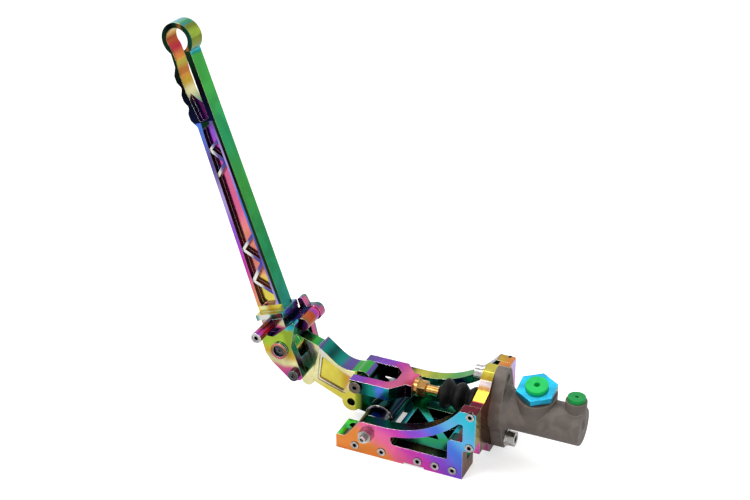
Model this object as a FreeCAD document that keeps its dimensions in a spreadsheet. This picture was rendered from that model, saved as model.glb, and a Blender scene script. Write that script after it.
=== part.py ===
import FreeCAD, Part
import math
import os
import Sketcher

# Hydraulic handbrake, in millimetres.
# X runs along the base towards the master cylinder, Y away from the near side plate, Z up.
# The origin is the centre of the base's underside.

document = FreeCAD.newDocument("hydraulic_handbrake")
sheet = document.addObject("Spreadsheet::Sheet", "sizes")

# Driving sizes: the sheet holds one cell for each, in column B, with its name as the alias.
DRIVING_SIZES = (
    ("base_length", 114.0, "length of the side plates at the floor"),
    ("base_width", 96.0, "outside width over the side plates"),
    ("side_thickness", 11.0, "thickness of a side plate"),
    ("base_thickness", 12.7, "thickness of the base plate"),
    ("heel_height", 13.6, "height of a side plate at its low end"),
    ("heel_length", 8.5, "flat top of the low end"),
    ("ramp_length", 13.5, "run of the ramp up to the hump"),
    ("hump_height", 31.6, "height of the hump over the pivot"),
    ("hump_length", 20.5, "run of the hump before the sweep"),
    ("head_height", 65.7, "height of the side plate at the cylinder end"),
    ("head_flat", 14.1, "flat top of a side plate at the cylinder end"),
    ("head_overhang", 10.5, "reach of the head past the base"),
    ("head_underside", 28.5, "height of the head's underside"),
    ("foot_relief_depth", 1.7, "depth of the relief under a side plate"),
    ("foot_relief_start", 61.5, "start of the relief from the low end"),
    ("foot_relief_length", 18.7, "length of the relief"),
    ("edge_round", 1.5, "small corner radius of the plates"),
    ("ramp_round", 6.0, "radius at the ramp's foot and top"),
    ("window_start", 50.0, "start of the window from the low end"),
    ("window_floor", 16.3, "height of the window's lower edge"),
    ("window_rim", 7.4, "rim between the window and the sweep"),
    ("window_step_height", 36.5, "height of the step in the window"),
    ("window_step_length", 13.0, "length of the step in the window"),
    ("window_post", 10.8, "width of the post at the head"),
    ("window_round", 4.0, "corner radius of the window"),
    ("pivot_setback", 28.0, "pivot centre from the low end"),
    ("pivot_height", 20.0, "pivot centre above the floor"),
    ("pivot_shaft_radius", 5.0, "radius of the pivot shaft"),
    ("pivot_thread_radius", 3.2, "radius of the shaft's threaded ends"),
    ("pivot_stub_length", 9.0, "reach of the threaded end past the side plate"),
    ("pivot_nut_width", 11.0, "width across flats of the pivot nuts"),
    ("pivot_nut_height", 4.5, "height of the pivot nuts"),
    ("spacer_radius", 12.0, "outside radius of the pivot spacers"),
    ("hub_radius", 13.0, "radius of the lever's hub"),
    ("hub_length", 44.0, "length of the lever's hub"),
    ("bush_wall", 1.5, "wall of the pivot bushes"),
    ("bush_length", 14.0, "length of each pivot bush"),
    ("running_clearance", 0.05, "radial clearance of a running fit"),
    ("side_clearance", 0.3, "gap between faces that slide past each other"),
    ("notch_half_width", 22.6, "half width of the notches in the base plate"),
    ("rear_notch_depth", 43.0, "depth of the notch under the lever"),
    ("front_notch_depth", 20.0, "depth of the notch under the cylinder plate"),
    ("scallop_clearance", 0.6, "gap between a spacer and its scallop in the base plate"),
    ("truss_rib", 4.5, "width of the base plate's ribs"),
    ("truss_depth", 9.0, "depth of the base plate's pockets"),
    ("floor_bolt_radius", 3.3, "radius of the floor bolt holes"),
    ("floor_bolt_rear", 8.0, "rear floor bolts from the low end"),
    ("floor_bolt_front", 16.3, "front floor bolts from the high end"),
    ("floor_bolt_inset", 18.2, "floor bolts in from the outside of the base"),
    ("plate_screw_radius", 2.0, "radius of the side plate screws"),
    ("plate_screw_head_radius", 3.6, "radius of the side plate screws' heads"),
    ("plate_screw_head_height", 0.6, "height of the heads above the plate"),
    ("plate_screw_recess", 2.8, "depth of the heads' recess"),
    ("plate_screw_length", 19.0, "length of the screws under the head"),
    ("plate_screw_socket", 3.4, "width across flats of the screws' sockets"),
    ("mount_plate_thickness", 10.0, "thickness of the cylinder mounting plate"),
    ("mount_plate_floor", 21.0, "height of the mounting plate's underside"),
    ("mount_plate_drop", 10.4, "lowest point of the mounting plate under the lower flange bolt"),
    ("hump_shoulder_half", 31.0, "half width of the plate's hump at the shoulder"),
    ("hump_step_half", 18.0, "half width at the hump's first step"),
    ("hump_step_rise", 3.8, "rise of the hump's first step above the shoulder"),
    ("hump_side_half", 13.0, "half width at the hump's second step"),
    ("hump_side_fall", 5.0, "fall from the hump's top to its second step"),
    ("hump_top_half", 6.5, "half width of the hump's flat top"),
    ("hump_top_rise", 6.9, "rise of the hump's flat top above the upper flange bolt"),
    ("axis_height", 46.0, "height of the cylinder's axis"),
    ("flange_thickness", 10.0, "thickness of the cylinder's flange"),
    ("flange_bolt_spacing", 57.15, "spacing of the two flange bolts"),
    ("flange_lobe_radius", 9.2, "radius of the flange's two ends"),
    ("flange_core_radius", 18.0, "radius of the flange's middle"),
    ("flange_bolt_radius", 4.0, "radius of the flange bolts"),
    ("flange_bolt_clearance", 0.25, "radial clearance of the flange bolts"),
    ("flange_head_radius", 6.4, "radius of the flange bolts' heads"),
    ("flange_head_height", 7.0, "height of the flange bolts' heads"),
    ("flange_washer_radius", 7.6, "radius of the flange washers"),
    ("flange_washer_thickness", 1.5, "thickness of the flange washers"),
    ("flange_socket", 6.0, "width across flats of the flange bolts' sockets"),
    ("casting_radius", 16.3, "outside radius of the cylinder's body"),
    ("casting_flare", 3.5, "flare where the body meets the flange"),
    ("casting_end", 75.2, "length from the flange's seat to the end of the body"),
    ("bore_radius", 9.525, "radius of the cylinder's bore"),
    ("bore_depth", 65.0, "depth of the bore from the flange's seat"),
    ("inlet_offset", 34.8, "inlet boss from the flange's seat"),
    ("inlet_radius", 16.8, "radius of the inlet boss"),
    ("inlet_height", 21.5, "top of the inlet boss above the axis"),
    ("inlet_lean", 12.5, "lean of the inlet's seat towards the near side, in degrees"),
    ("inlet_thread_radius", 9.0, "radius of the inlet's threaded bore"),
    ("inlet_thread_floor", 14.5, "floor of the inlet's bore above the axis"),
    ("outlet_offset", 67.9, "outlet boss from the flange's seat"),
    ("outlet_radius", 8.9, "radius of the outlet boss"),
    ("outlet_height", 23.6, "top of the outlet boss above the axis"),
    ("outlet_thread_radius", 5.0, "radius of the outlet's threaded bore"),
    ("outlet_thread_floor", 11.0, "floor of the outlet's bore above the axis"),
    ("passage_radius", 1.5, "radius of the fluid passages"),
    ("collar_ring_height", 1.6, "height of the seal ring under the hexagon"),
    ("hexagon_width", 30.0, "width across flats of the inlet adapter"),
    ("hexagon_height", 5.0, "height of the inlet adapter's hexagon"),
    ("adapter_bore_radius", 5.0, "radius of the adapter's bore"),
    ("inlet_plug_radius", 9.4, "radius of the inlet plug's cap"),
    ("inlet_plug_height", 3.2, "height of the inlet plug's cap"),
    ("outlet_plug_radius", 7.4, "radius of the outlet plug's cap"),
    ("outlet_plug_height", 3.4, "height of the outlet plug's cap"),
    ("plug_hole_radius", 2.6, "radius of the inlet plug's finger hole"),
    ("clevis_setback", 21.7, "clevis pin behind the pivot"),
    ("clevis_pin_radius", 4.0, "radius of the clevis pin"),
    ("clevis_head_radius", 5.4, "radius of the clevis pin's head"),
    ("clevis_head_height", 2.2, "height of the clevis pin's head"),
    ("clevis_clip_height", 1.6, "thickness of the clevis pin's clip"),
    ("yoke_width", 43.6, "outside width of the yoke"),
    ("yoke_height", 12.0, "height of the yoke"),
    ("yoke_slot_width", 25.0, "width of the yoke's slot"),
    ("yoke_tail", 5.8, "yoke's reach behind the pin"),
    ("yoke_arm", 30.7, "yoke's full width ahead of the pin"),
    ("yoke_slot_end", 31.0, "end of the yoke's slot ahead of the pin"),
    ("yoke_neck_start", 40.7, "start of the yoke's neck ahead of the pin"),
    ("yoke_length", 46.4, "end of the yoke's neck ahead of the pin"),
    ("yoke_neck_width", 20.0, "width of the yoke's neck"),
    ("pushrod_radius", 4.2, "radius of the pushrod"),
    ("jam_nut_width", 13.0, "width across flats of the jam nut"),
    ("jam_nut_length", 6.5, "length of the jam nut's hexagon"),
    ("jam_collar_radius", 8.0, "radius of the jam nut's collar"),
    ("jam_collar_length", 3.5, "length of the jam nut's collar"),
    ("ball_radius", 5.4, "radius of the pushrod's ball end"),
    ("ball_offset", 14.0, "ball centre past the flange's seat"),
    ("cup_clearance", 0.6, "gap between the ball and the piston's cup"),
    ("piston_length", 23.0, "length of the piston"),
    ("piston_start", 9.5, "start of the piston past the flange's seat"),
    ("seal_width", 3.0, "width of a piston seal"),
    ("seal_depth", 2.2, "depth of a piston seal's groove"),
    ("spring_wire_radius", 0.8, "radius of the return spring's wire"),
    ("spring_radius", 6.5, "mean radius of the return spring"),
    ("spring_turns", 5.0, "turns of the return spring"),
    ("boot_lobe_radius", 14.0, "radius of the boot's largest fold"),
    ("boot_lobe_fall", 1.3, "fall of the boot's radius from fold to fold"),
    ("boot_valley_depth", 3.2, "depth of the valleys between the folds"),
    ("boot_wall", 1.5, "wall of the boot"),
    ("boot_gap", 11.8, "gap between the jam nut and the boot"),
    ("lever_thickness", 19.0, "thickness of the lower lever"),
    ("eye_radius", 8.6, "radius of the lever's clevis eye"),
    ("neck_height", 74.6, "height of the lever's upper corner"),
    ("neck_reach", 67.2, "lever's upper corner behind the pivot"),
    ("neck_bevel", 5.0, "bevel at the lever's upper corner"),
    ("saddle_reach", 37.5, "lowest part of the lever's back behind the pivot"),
    ("saddle_height", 49.8, "height of the lowest part of the lever's back"),
    ("saddle_round", 24.0, "radius of the lever's back"),
    ("belly_reach", 67.0, "lever's lower corner behind the pivot"),
    ("belly_height", 34.0, "height of the lever's lower corner"),
    ("chin_reach", 75.5, "centre of the lever's lower lobe behind the pivot"),
    ("chin_height", 30.8, "height of the lower lobe's centre"),
    ("chin_radius", 6.0, "radius of the lower lobe"),
    ("lug_reach", 32.0, "lug hole behind the pivot"),
    ("lug_height", 20.5, "height of the lug hole"),
    ("lug_radius", 8.5, "radius of the lug"),
    ("lug_hole_radius", 3.75, "radius of the lug hole"),
    ("panel_margin", 3.2, "rim around the lever's side panel"),
    ("panel_depth", 2.4, "depth of the lever's side panel"),
    ("panel_step", 1.6, "width of the step inside the panel's rim"),
    ("panel_step_depth", 0.9, "depth of the step inside the panel's rim"),
    ("elbow_reach", 93.3, "elbow pivot behind the main pivot"),
    ("elbow_height", 64.6, "height of the elbow pivot"),
    ("tongue_thickness", 12.0, "thickness of the lever's tongue"),
    ("knuckle_radius", 12.0, "radius of the tongue's knuckle"),
    ("elbow_bolt_radius", 4.0, "radius of the elbow's pivot bolt"),
    ("elbow_ring_radius", 7.8, "radius of the raised ring at the elbow"),
    ("elbow_ring_height", 2.0, "height of the raised ring"),
    ("elbow_recess_radius", 5.2, "radius of the recess in the raised ring"),
    ("elbow_recess_depth", 4.0, "depth of the recess"),
    ("elbow_nut_width", 14.0, "width across flats of the elbow's nut"),
    ("elbow_nut_height", 5.0, "height of the elbow's nut"),
    ("ear_gap", 28.0, "gap between the fork's two ears"),
    ("ear_thickness", 8.0, "thickness of an ear"),
    ("lock_radius", 24.8, "lock bolt from the elbow pivot"),
    ("lock_angle", 34.0, "lock bolt's angle forward of straight down, in degrees"),
    ("lock_travel", 6.0, "handle's adjustment each way, in degrees"),
    ("lock_bolt_radius", 3.0, "radius of the lock bolt"),
    ("lock_head_radius", 5.0, "radius of the lock bolt's head"),
    ("lock_head_height", 4.0, "height of the lock bolt's head"),
    ("lock_slot_clearance", 0.4, "gap beside the lock bolt in its slot"),
    ("handle_lean", 19.07, "lean of the handle from upright, in degrees"),
    ("handle_thickness", 15.4, "thickness of the handle"),
    ("handle_front", 8.4, "handle's front edge ahead of the elbow pivot"),
    ("handle_foot", 25.8, "underside of the foot above the elbow pivot"),
    ("handle_foot_width", 25.5, "width of the handle at the foot"),
    ("handle_grip_width", 19.2, "width of the handle below the grip"),
    ("foot_block_height", 5.0, "height of the foot"),
    ("foot_block_near", 13.5, "reach of the foot towards the near side"),
    ("foot_block_far", 13.5, "reach of the foot towards the far side"),
    ("foot_lip", 1.2, "reach of the foot past the handle's edges"),
    ("grip_start", 176.9, "start of the grip above the foot"),
    ("grip_pitch", 16.7, "pitch of the finger grooves"),
    ("grip_crest_width", 23.6, "width of the handle at the grooves' crests"),
    ("grip_valley_width", 20.6, "width of the handle at the grooves' floors"),
    ("grip_neck_width", 19.7, "width of the handle between the grip and the ring"),
    ("ring_height", 251.1, "centre of the ring above the foot"),
    ("ring_inset", 8.4, "centre of the ring behind the front edge"),
    ("ring_radius", 14.4, "outside radius of the ring"),
    ("ring_hole_radius", 9.9, "radius of the ring's hole"),
    ("grip_slot_end", 191.2, "lower end of the grip's slot above the foot"),
    ("grip_slot_wall", 5.6, "wall in front of the grip's slot"),
    ("grip_slot_width", 12.4, "width of the grip's slot"),
    ("grip_pocket_reach", 10.5, "reach of the grip's side pockets below its slot"),
    ("web_start", 11.0, "lower end of the handle's side pocket above the foot"),
    ("web_end", 178.5, "upper end of the handle's side pocket above the foot"),
    ("web_rim", 3.6, "rim beside the handle's side pocket"),
    ("web_front_rim", 4.8, "rim ahead of the handle's side pocket"),
    ("web_depth", 5.0, "depth of the handle's side pocket"),
    ("rib_height", 4.0, "height of the ribs in the side pocket"),
    ("rib_width", 4.2, "width of the ribs, taken across the handle"),
    ("rib_pitch", 15.0, "pitch of the ribs in the side pocket"),
    ("barrel_radius", 4.8, "radius of the front barrel"),
    ("barrel_reach", 40.7, "near end of the front barrel from the middle"),
    ("barrel_inset", 5.4, "front barrel behind the elbow pivot along the foot"),
    ("barrel_drop", 3.9, "front barrel's axis under the foot"),
    ("barrel_screw_radius", 2.5, "radius of the barrel's screw"),
    ("barrel_cap_radius", 3.3, "radius of the barrel screw's head"),
    ("stop_radius", 6.0, "radius of the rear stop barrel"),
    ("stop_forward", 21.6, "rear stop ahead of the elbow pivot along the foot"),
    ("stop_rise", 15.5, "rear stop above the elbow pivot along the handle"),
    ("stop_length", 22.5, "length of the rear stop barrel"),
    ("stop_bolt_reach", 12.0, "reach of the rear stop's bolt into the barrel"),
    ("stop_bolt_radius", 3.0, "radius of the rear stop's bolt"),
    ("stop_head_radius", 4.4, "radius of the rear stop bolt's head"),
)


class Size:
    """A number together with the sheet formula that gives it."""

    def __init__(self, number, formula):
        self.number = number
        self.formula = formula

    def __add__(self, other):
        other = as_size(other)
        return Size(self.number + other.number, f"({self.formula} + {other.formula})")

    def __radd__(self, other):
        return as_size(other) + self

    def __sub__(self, other):
        other = as_size(other)
        return Size(self.number - other.number, f"({self.formula} - {other.formula})")

    def __rsub__(self, other):
        return as_size(other) - self

    def __mul__(self, other):
        other = as_size(other)
        return Size(self.number * other.number, f"({self.formula} * {other.formula})")

    def __rmul__(self, other):
        return as_size(other) * self

    def __truediv__(self, other):
        other = as_size(other)
        return Size(self.number / other.number, f"({self.formula} / {other.formula})")

    def __neg__(self):
        return Size(-self.number, f"(0 - {self.formula})")


def as_size(value):
    """A plain number becomes a size whose formula is that number."""
    if isinstance(value, Size):
        return value
    return Size(float(value), f"{float(value)!r}")


def root(value):
    """Square root of a size."""
    return Size(math.sqrt(value.number), f"sqrt({value.formula})")


def sine(angle):
    """Sine of an angle that the sheet holds in degrees."""
    return Size(math.sin(math.radians(angle.number)), f"sin({angle.formula} * 1 deg)")


def cosine(angle):
    """Cosine of an angle that the sheet holds in degrees."""
    return Size(math.cos(math.radians(angle.number)), f"cos({angle.formula} * 1 deg)")


def fill_sheet():
    """Write each driving size into its own cell and return them by name."""
    sizes = {}
    for row, (name, number, meaning) in enumerate(DRIVING_SIZES, start=1):
        sheet.set(f"A{row}", name)
        sheet.set(f"B{row}", str(number))
        sheet.set(f"C{row}", meaning)
        sheet.setAlias(f"B{row}", name)
        sizes[name] = Size(number, f"sizes.{name}")
    document.recompute()
    return sizes


size = fill_sheet()
parts = {}


def bind(target, prop, value):
    """Tie one property of an object to a size."""
    value = as_size(value)
    target.setExpression(prop, value.formula)


def keep(name, piece):
    """Name a finished sub-part, which is also its file's name."""
    piece.Label = name
    parts[name] = piece
    return piece


def place(piece, x=0.0, y=0.0, z=0.0, axis=(0, 0, 1), angle=0.0):
    """Set a piece's place and turn, tied to the sheet."""
    base = FreeCAD.Vector(as_size(x).number, as_size(y).number, as_size(z).number)
    turn = FreeCAD.Rotation(FreeCAD.Vector(*axis), as_size(angle).number)
    piece.Placement = FreeCAD.Placement(base, turn)
    bind(piece, "Placement.Base.x", x)
    bind(piece, "Placement.Base.y", y)
    bind(piece, "Placement.Base.z", z)
    if isinstance(angle, Size):
        piece.setExpression("Placement.Rotation.Angle", f"{angle.formula} * 1 deg")
    return piece


def new_body(name):
    """A body for one sub-part."""
    return document.addObject("PartDesign::Body", name)


def new_sketch(body, name, plane, offset=0.0, lean=0.0):
    """A sketch on one of the body's own origin planes, moved along its normal and leaned about X."""
    sketch = body.newObject("Sketcher::SketchObject", name)
    origin = [feature for feature in body.Origin.OriginFeatures if feature.Role == plane][0]
    sketch.AttachmentSupport = [(origin, "")]
    sketch.MapMode = "FlatFace"
    offset, lean = as_size(offset), as_size(lean)
    turn = FreeCAD.Rotation(FreeCAD.Vector(1, 0, 0), lean.number)
    sketch.AttachmentOffset = FreeCAD.Placement(FreeCAD.Vector(0, 0, offset.number), turn)
    bind(sketch, "AttachmentOffset.Base.z", offset)
    if lean.number:
        sketch.setExpression("AttachmentOffset.Rotation.Angle", f"{lean.formula} * 1 deg")
    return sketch


def add_value(sketch, constraint, value):
    """Add a dimension to a sketch and tie it to a size."""
    index = sketch.addConstraint(constraint)
    sketch.setExpression(f"Constraints[{index}]", as_size(value).formula)


def fix_point(sketch, geometry, position, x, y):
    """Hold one point of a sketch by its two coordinates."""
    x = as_size(x)
    y = as_size(y)
    add_value(sketch, Sketcher.Constraint("DistanceX", -1, 1, geometry, position, x.number), x)
    add_value(sketch, Sketcher.Constraint("DistanceY", -1, 1, geometry, position, y.number), y)


def corner(x, y, round_off=None, arc=None, turn=1):
    """A corner of an outline: its own rounding, or an arc to the next corner.

    turn is 1 where that arc is walked anticlockwise and -1 where clockwise.
    """
    return {"x": as_size(x), "y": as_size(y), "round": round_off, "arc": arc, "turn": turn}


def vector(point):
    """A corner as a vector in the sketch's plane."""
    return FreeCAD.Vector(point["x"].number, point["y"].number, 0)


def rounding(before, here, after):
    """Where a rounded corner's arc starts, ends and has its centre, and its turn."""
    radius = here["round"].number
    middle = vector(here)
    back = (vector(before) - middle).normalize()
    ahead = (vector(after) - middle).normalize()
    half = back.getAngle(ahead) / 2
    reach = radius / math.tan(half)
    bisector = (back + ahead).normalize()
    centre = middle + bisector * (radius / math.sin(half))
    turn = 1 if (-back).cross(ahead).z > 0 else -1
    return middle + back * reach, middle + ahead * reach, centre, turn


def arc_between(start, end, centre, turn):
    """An arc about a centre, walked anticlockwise where turn is 1."""
    first, last = (start, end) if turn > 0 else (end, start)
    begin = math.atan2(first.y - centre.y, first.x - centre.x)
    finish = math.atan2(last.y - centre.y, last.x - centre.x)
    if finish <= begin:
        finish += 2 * math.pi
    circle = Part.Circle(centre, FreeCAD.Vector(0, 0, 1), (start - centre).Length)
    return Part.ArcOfCircle(circle, begin, finish)


def arc_centre(start, end, radius, turn):
    """Centre of the shorter arc from start to end."""
    chord = end - start
    half = chord.Length / 2
    rise = math.sqrt(max(radius * radius - half * half, 0.0))
    normal = FreeCAD.Vector(-chord.y, chord.x, 0).normalize()
    return (start + end) * 0.5 + normal * rise * turn


def draw_outline(sketch, corners):
    """Draw a closed outline, hold its corners and tie its radii."""
    count = len(corners)
    bends = {}
    for index, here in enumerate(corners):
        if here["round"] is not None:
            bends[index] = rounding(corners[index - 1], here, corners[(index + 1) % count])
    edges = []
    for index, here in enumerate(corners):
        after = (index + 1) % count
        start = bends[index][1] if index in bends else vector(here)
        end = bends[after][0] if after in bends else vector(corners[after])
        if here["arc"] is None:
            edges.append((sketch.addGeometry(Part.LineSegment(start, end)), 1, 2))
        else:
            centre = arc_centre(start, end, here["arc"].number, here["turn"])
            number = sketch.addGeometry(arc_between(start, end, centre, here["turn"]))
            edges.append((number, 1, 2) if here["turn"] > 0 else (number, 2, 1))
            radius = Sketcher.Constraint("Radius", number, here["arc"].number)
            add_value(sketch, radius, here["arc"])
    for index, here in enumerate(corners):
        arriving, _, arrival = edges[index - 1]
        leaving, departure, _ = edges[index]
        if index not in bends:
            sketch.addConstraint(Sketcher.Constraint("Coincident", arriving, arrival, leaving, departure))
            fix_point(sketch, leaving, departure, here["x"], here["y"])
            continue
        start, end, centre, turn = bends[index]
        bend = sketch.addGeometry(arc_between(start, end, centre, turn))
        first, last = (1, 2) if turn > 0 else (2, 1)
        point = sketch.addGeometry(Part.Point(vector(here)), True)
        fix_point(sketch, point, 1, here["x"], here["y"])
        sketch.addConstraint(Sketcher.Constraint("PointOnObject", point, 1, arriving))
        sketch.addConstraint(Sketcher.Constraint("PointOnObject", point, 1, leaving))
        sketch.addConstraint(Sketcher.Constraint("Tangent", arriving, arrival, bend, first))
        sketch.addConstraint(Sketcher.Constraint("Tangent", leaving, departure, bend, last))
        add_value(sketch, Sketcher.Constraint("Radius", bend, here["round"].number), here["round"])


def draw_circle(sketch, x, y, radius):
    """Draw a circle, hold its centre and tie its radius."""
    x, y, radius = as_size(x), as_size(y), as_size(radius)
    centre = FreeCAD.Vector(x.number, y.number, 0)
    number = sketch.addGeometry(Part.Circle(centre, FreeCAD.Vector(0, 0, 1), radius.number))
    fix_point(sketch, number, 3, x, y)
    add_value(sketch, Sketcher.Constraint("Radius", number, radius.number), radius)


def fill_sketch(body, name, plane, offset, outlines, circles, lean=0.0):
    """A sketch with its outlines and circles drawn."""
    sketch = new_sketch(body, f"{name}_sketch", plane, offset, lean)
    for outline in outlines:
        draw_outline(sketch, outline)
    for circle in circles:
        draw_circle(sketch, *circle)
    return sketch


def pad(body, name, plane, start, length, outlines=(), circles=()):
    """Add material from start along the plane's normal."""
    feature = body.newObject("PartDesign::Pad", name)
    feature.Profile = fill_sketch(body, name, plane, start, outlines, circles)
    feature.Length = as_size(length).number
    bind(feature, "Length", length)
    body.Tip = feature
    return feature


def cut(body, name, plane, top, depth, outlines=(), circles=(), lean=0.0, upwards=False):
    """Take material away from top, against the plane's normal unless it goes upwards."""
    document.recompute()
    before = body.Shape.Volume
    feature = body.newObject("PartDesign::Pocket", name)
    feature.Profile = fill_sketch(body, name, plane, top, outlines, circles, lean)
    feature.Length = as_size(depth).number
    feature.Reversed = upwards
    bind(feature, "Length", depth)
    body.Tip = feature
    document.recompute()
    if body.Shape.Volume >= before:
        raise RuntimeError(f"{body.Name}: {name} takes nothing away")
    return feature


def turned(body, name, profile):
    """Add a turned shape: the profile gives places along X and radii."""
    feature = body.newObject("PartDesign::Revolution", name)
    sketch = fill_sketch(body, name, "XY_Plane", 0.0, (profile,), ())
    feature.Profile = sketch
    feature.ReferenceAxis = (sketch, ["H_Axis"])
    feature.Angle = 360.0
    body.Tip = feature
    return feature


def bar_profile(*steps):
    """Profile of a solid turned bar from steps of start, end and radius."""
    corners = [corner(steps[0][0], 0.0)]
    for start, end, radius in steps:
        corners.append(corner(start, radius))
        corners.append(corner(end, radius))
    corners.append(corner(steps[-1][1], 0.0))
    return corners


def hexagon(width):
    """Outline of a hexagon about the origin, from its width across flats."""
    half = as_size(width) / 2
    point = half * (2 / math.sqrt(3))
    return [
        corner(half, point / 2),
        corner(0.0, point),
        corner(-half, point / 2),
        corner(-half, -(point / 2)),
        corner(0.0, -point),
        corner(half, -(point / 2)),
    ]


def box_outline(x0, y0, x1, y1, round_off=None):
    """Outline of a rectangle between two corners."""
    return [corner(x0, y0, round_off), corner(x1, y0, round_off),
            corner(x1, y1, round_off), corner(x0, y1, round_off)]


def screw_body(name, shank_radius, shank_length, head_radius, head_height, socket):
    """A socket screw along X: shank below the origin, head above it."""
    body = new_body(name)
    turned(body, f"{name}_turned", bar_profile((-shank_length, 0.0, shank_radius),
                                               (0.0, head_height, head_radius)))
    cut(body, f"{name}_socket", "YZ_Plane", head_height, head_height * 0.6, (hexagon(socket),))
    return body


def nut_body(name, width, height, bore_radius):
    """A plain hexagon nut along X from the origin."""
    body = new_body(name)
    pad(body, f"{name}_hexagon", "YZ_Plane", 0.0, height, (hexagon(width),), ((0.0, 0.0, bore_radius),))
    return body


def ring_body(name, outer, inner, length):
    """A plain ring along X from the origin."""
    body = new_body(name)
    pad(body, f"{name}_ring", "YZ_Plane", 0.0, length, (), ((0.0, 0.0, outer), (0.0, 0.0, inner)))
    return body


def group(name, members):
    """Like pieces that share one sub-part."""
    compound = document.addObject("Part::Compound", name)
    compound.Links = members
    return keep(name, compound)


# Places worked out from the driving sizes.
low_end = -(size["base_length"] / 2)
high_end = size["base_length"] / 2
outer_face = size["base_width"] / 2
inner_face = outer_face - size["side_thickness"]
head_end = high_end + size["head_overhang"]
pivot_x = low_end + size["pivot_setback"]
pivot_z = size["pivot_height"]
sweep_x = low_end + size["heel_length"] + size["ramp_length"] + size["hump_length"]
head_start = head_end - size["head_flat"]
sweep_run = head_start - sweep_x
sweep_rise = size["head_height"] - size["hump_height"]
sweep_radius = (sweep_run * sweep_run + sweep_rise * sweep_rise) / (sweep_rise * 2)
sweep_centre_z = size["hump_height"] + sweep_radius
hub_half = size["hub_length"] / 2
TOWARDS_NEAR = -90.0
TOWARDS_FAR = 90.0


seat_x = head_end
mount_plate_back = seat_x - size["mount_plate_thickness"]
plate_screw_x = seat_x - size["mount_plate_thickness"] / 2
SIDE_SCREW_SHARES = (0.152, 0.368, 0.654, 0.79, 0.925)
upright_screw_heights = (size["head_height"] - 3.5, size["head_underside"] + 4.1)
side_screw_z = size["base_thickness"] / 2


def screw_places():
    """Where the side plate screws stand, as X and Z."""
    places = [(low_end + size["base_length"] * share, side_screw_z) for share in SIDE_SCREW_SHARES]
    places += [(plate_screw_x, height) for height in upright_screw_heights]
    return places


def side_outline():
    """Outer outline of a side plate in X and Z."""
    relief_start = low_end + size["foot_relief_start"]
    relief_end = relief_start + size["foot_relief_length"]
    ramp_start = low_end + size["heel_length"]
    ramp_end = ramp_start + size["ramp_length"]
    return [
        corner(low_end, 0.0),
        corner(relief_start, 0.0),
        corner(relief_start, size["foot_relief_depth"]),
        corner(relief_end, size["foot_relief_depth"]),
        corner(relief_end, 0.0),
        corner(high_end, 0.0),
        corner(high_end, size["head_underside"], size["edge_round"]),
        corner(head_end, size["head_underside"], size["ramp_round"]),
        corner(head_end, size["head_height"], size["edge_round"]),
        corner(head_start, size["head_height"], arc=sweep_radius, turn=-1),
        corner(sweep_x, size["hump_height"]),
        corner(ramp_end, size["hump_height"], size["ramp_round"]),
        corner(ramp_start, size["heel_height"], size["ramp_round"]),
        corner(low_end, size["heel_height"], size["edge_round"]),
    ]


def window_outline():
    """Outline of the window in a side plate."""
    start = low_end + size["window_start"]
    end = head_end - size["window_post"]
    step = end - size["window_step_length"]
    radius = sweep_radius + size["window_rim"]
    arc_start_x = start + size["window_round"]
    run = arc_start_x - sweep_x
    arc_start_z = sweep_centre_z - root(radius * radius - run * run)
    arc_end_x = end - size["window_round"]
    end_run = arc_end_x - sweep_x
    arc_end_z = sweep_centre_z - root(radius * radius - end_run * end_run)
    return [
        corner(start, size["window_floor"], size["window_round"]),
        corner(step, size["window_floor"], size["edge_round"]),
        corner(step, size["window_step_height"], size["window_round"]),
        corner(end, size["window_step_height"], size["edge_round"]),
        corner(end, arc_end_z, size["edge_round"]),
        corner(arc_end_x, arc_end_z, arc=radius, turn=-1),
        corner(arc_start_x, arc_start_z),
        corner(start, arc_start_z - size["edge_round"], size["edge_round"]),
    ]


def make_side_plate(name, side):
    """A side plate: outline, window, pivot hole and screw holes."""
    body = new_body(name)
    start = inner_face if side > 0 else -outer_face
    top = outer_face if side > 0 else -inner_face
    holes = [(x, z, size["plate_screw_radius"]) for x, z in screw_places()]
    holes.append((pivot_x, pivot_z, size["pivot_shaft_radius"]))
    pad(body, f"{name}_blank", "XZ_Plane", start, size["side_thickness"],
        (side_outline(), window_outline()), holes)
    recess_top = top if side > 0 else start + size["plate_screw_recess"]
    recesses = [(x, z, size["plate_screw_head_radius"] + size["side_clearance"] / 3)
                for x, z in screw_places()]
    cut(body, f"{name}_recesses", "XZ_Plane", recess_top, size["plate_screw_recess"], (), recesses)
    return keep(name, body)


def make_plate_screws(name, side):
    """The screws of one side plate."""
    screws = []
    head = size["plate_screw_recess"] + size["plate_screw_head_height"]
    seat = outer_face - size["plate_screw_recess"]
    for number, (x, z) in enumerate(screw_places()):
        screw = screw_body(f"{name}_{number}", size["plate_screw_radius"], size["plate_screw_length"],
                           size["plate_screw_head_radius"], head, size["plate_screw_socket"])
        if side > 0:
            place(screw, x, -seat, z, angle=TOWARDS_NEAR)
        else:
            place(screw, x, seat, z, angle=TOWARDS_FAR)
        screws.append(screw)
    return group(name, screws)


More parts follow.
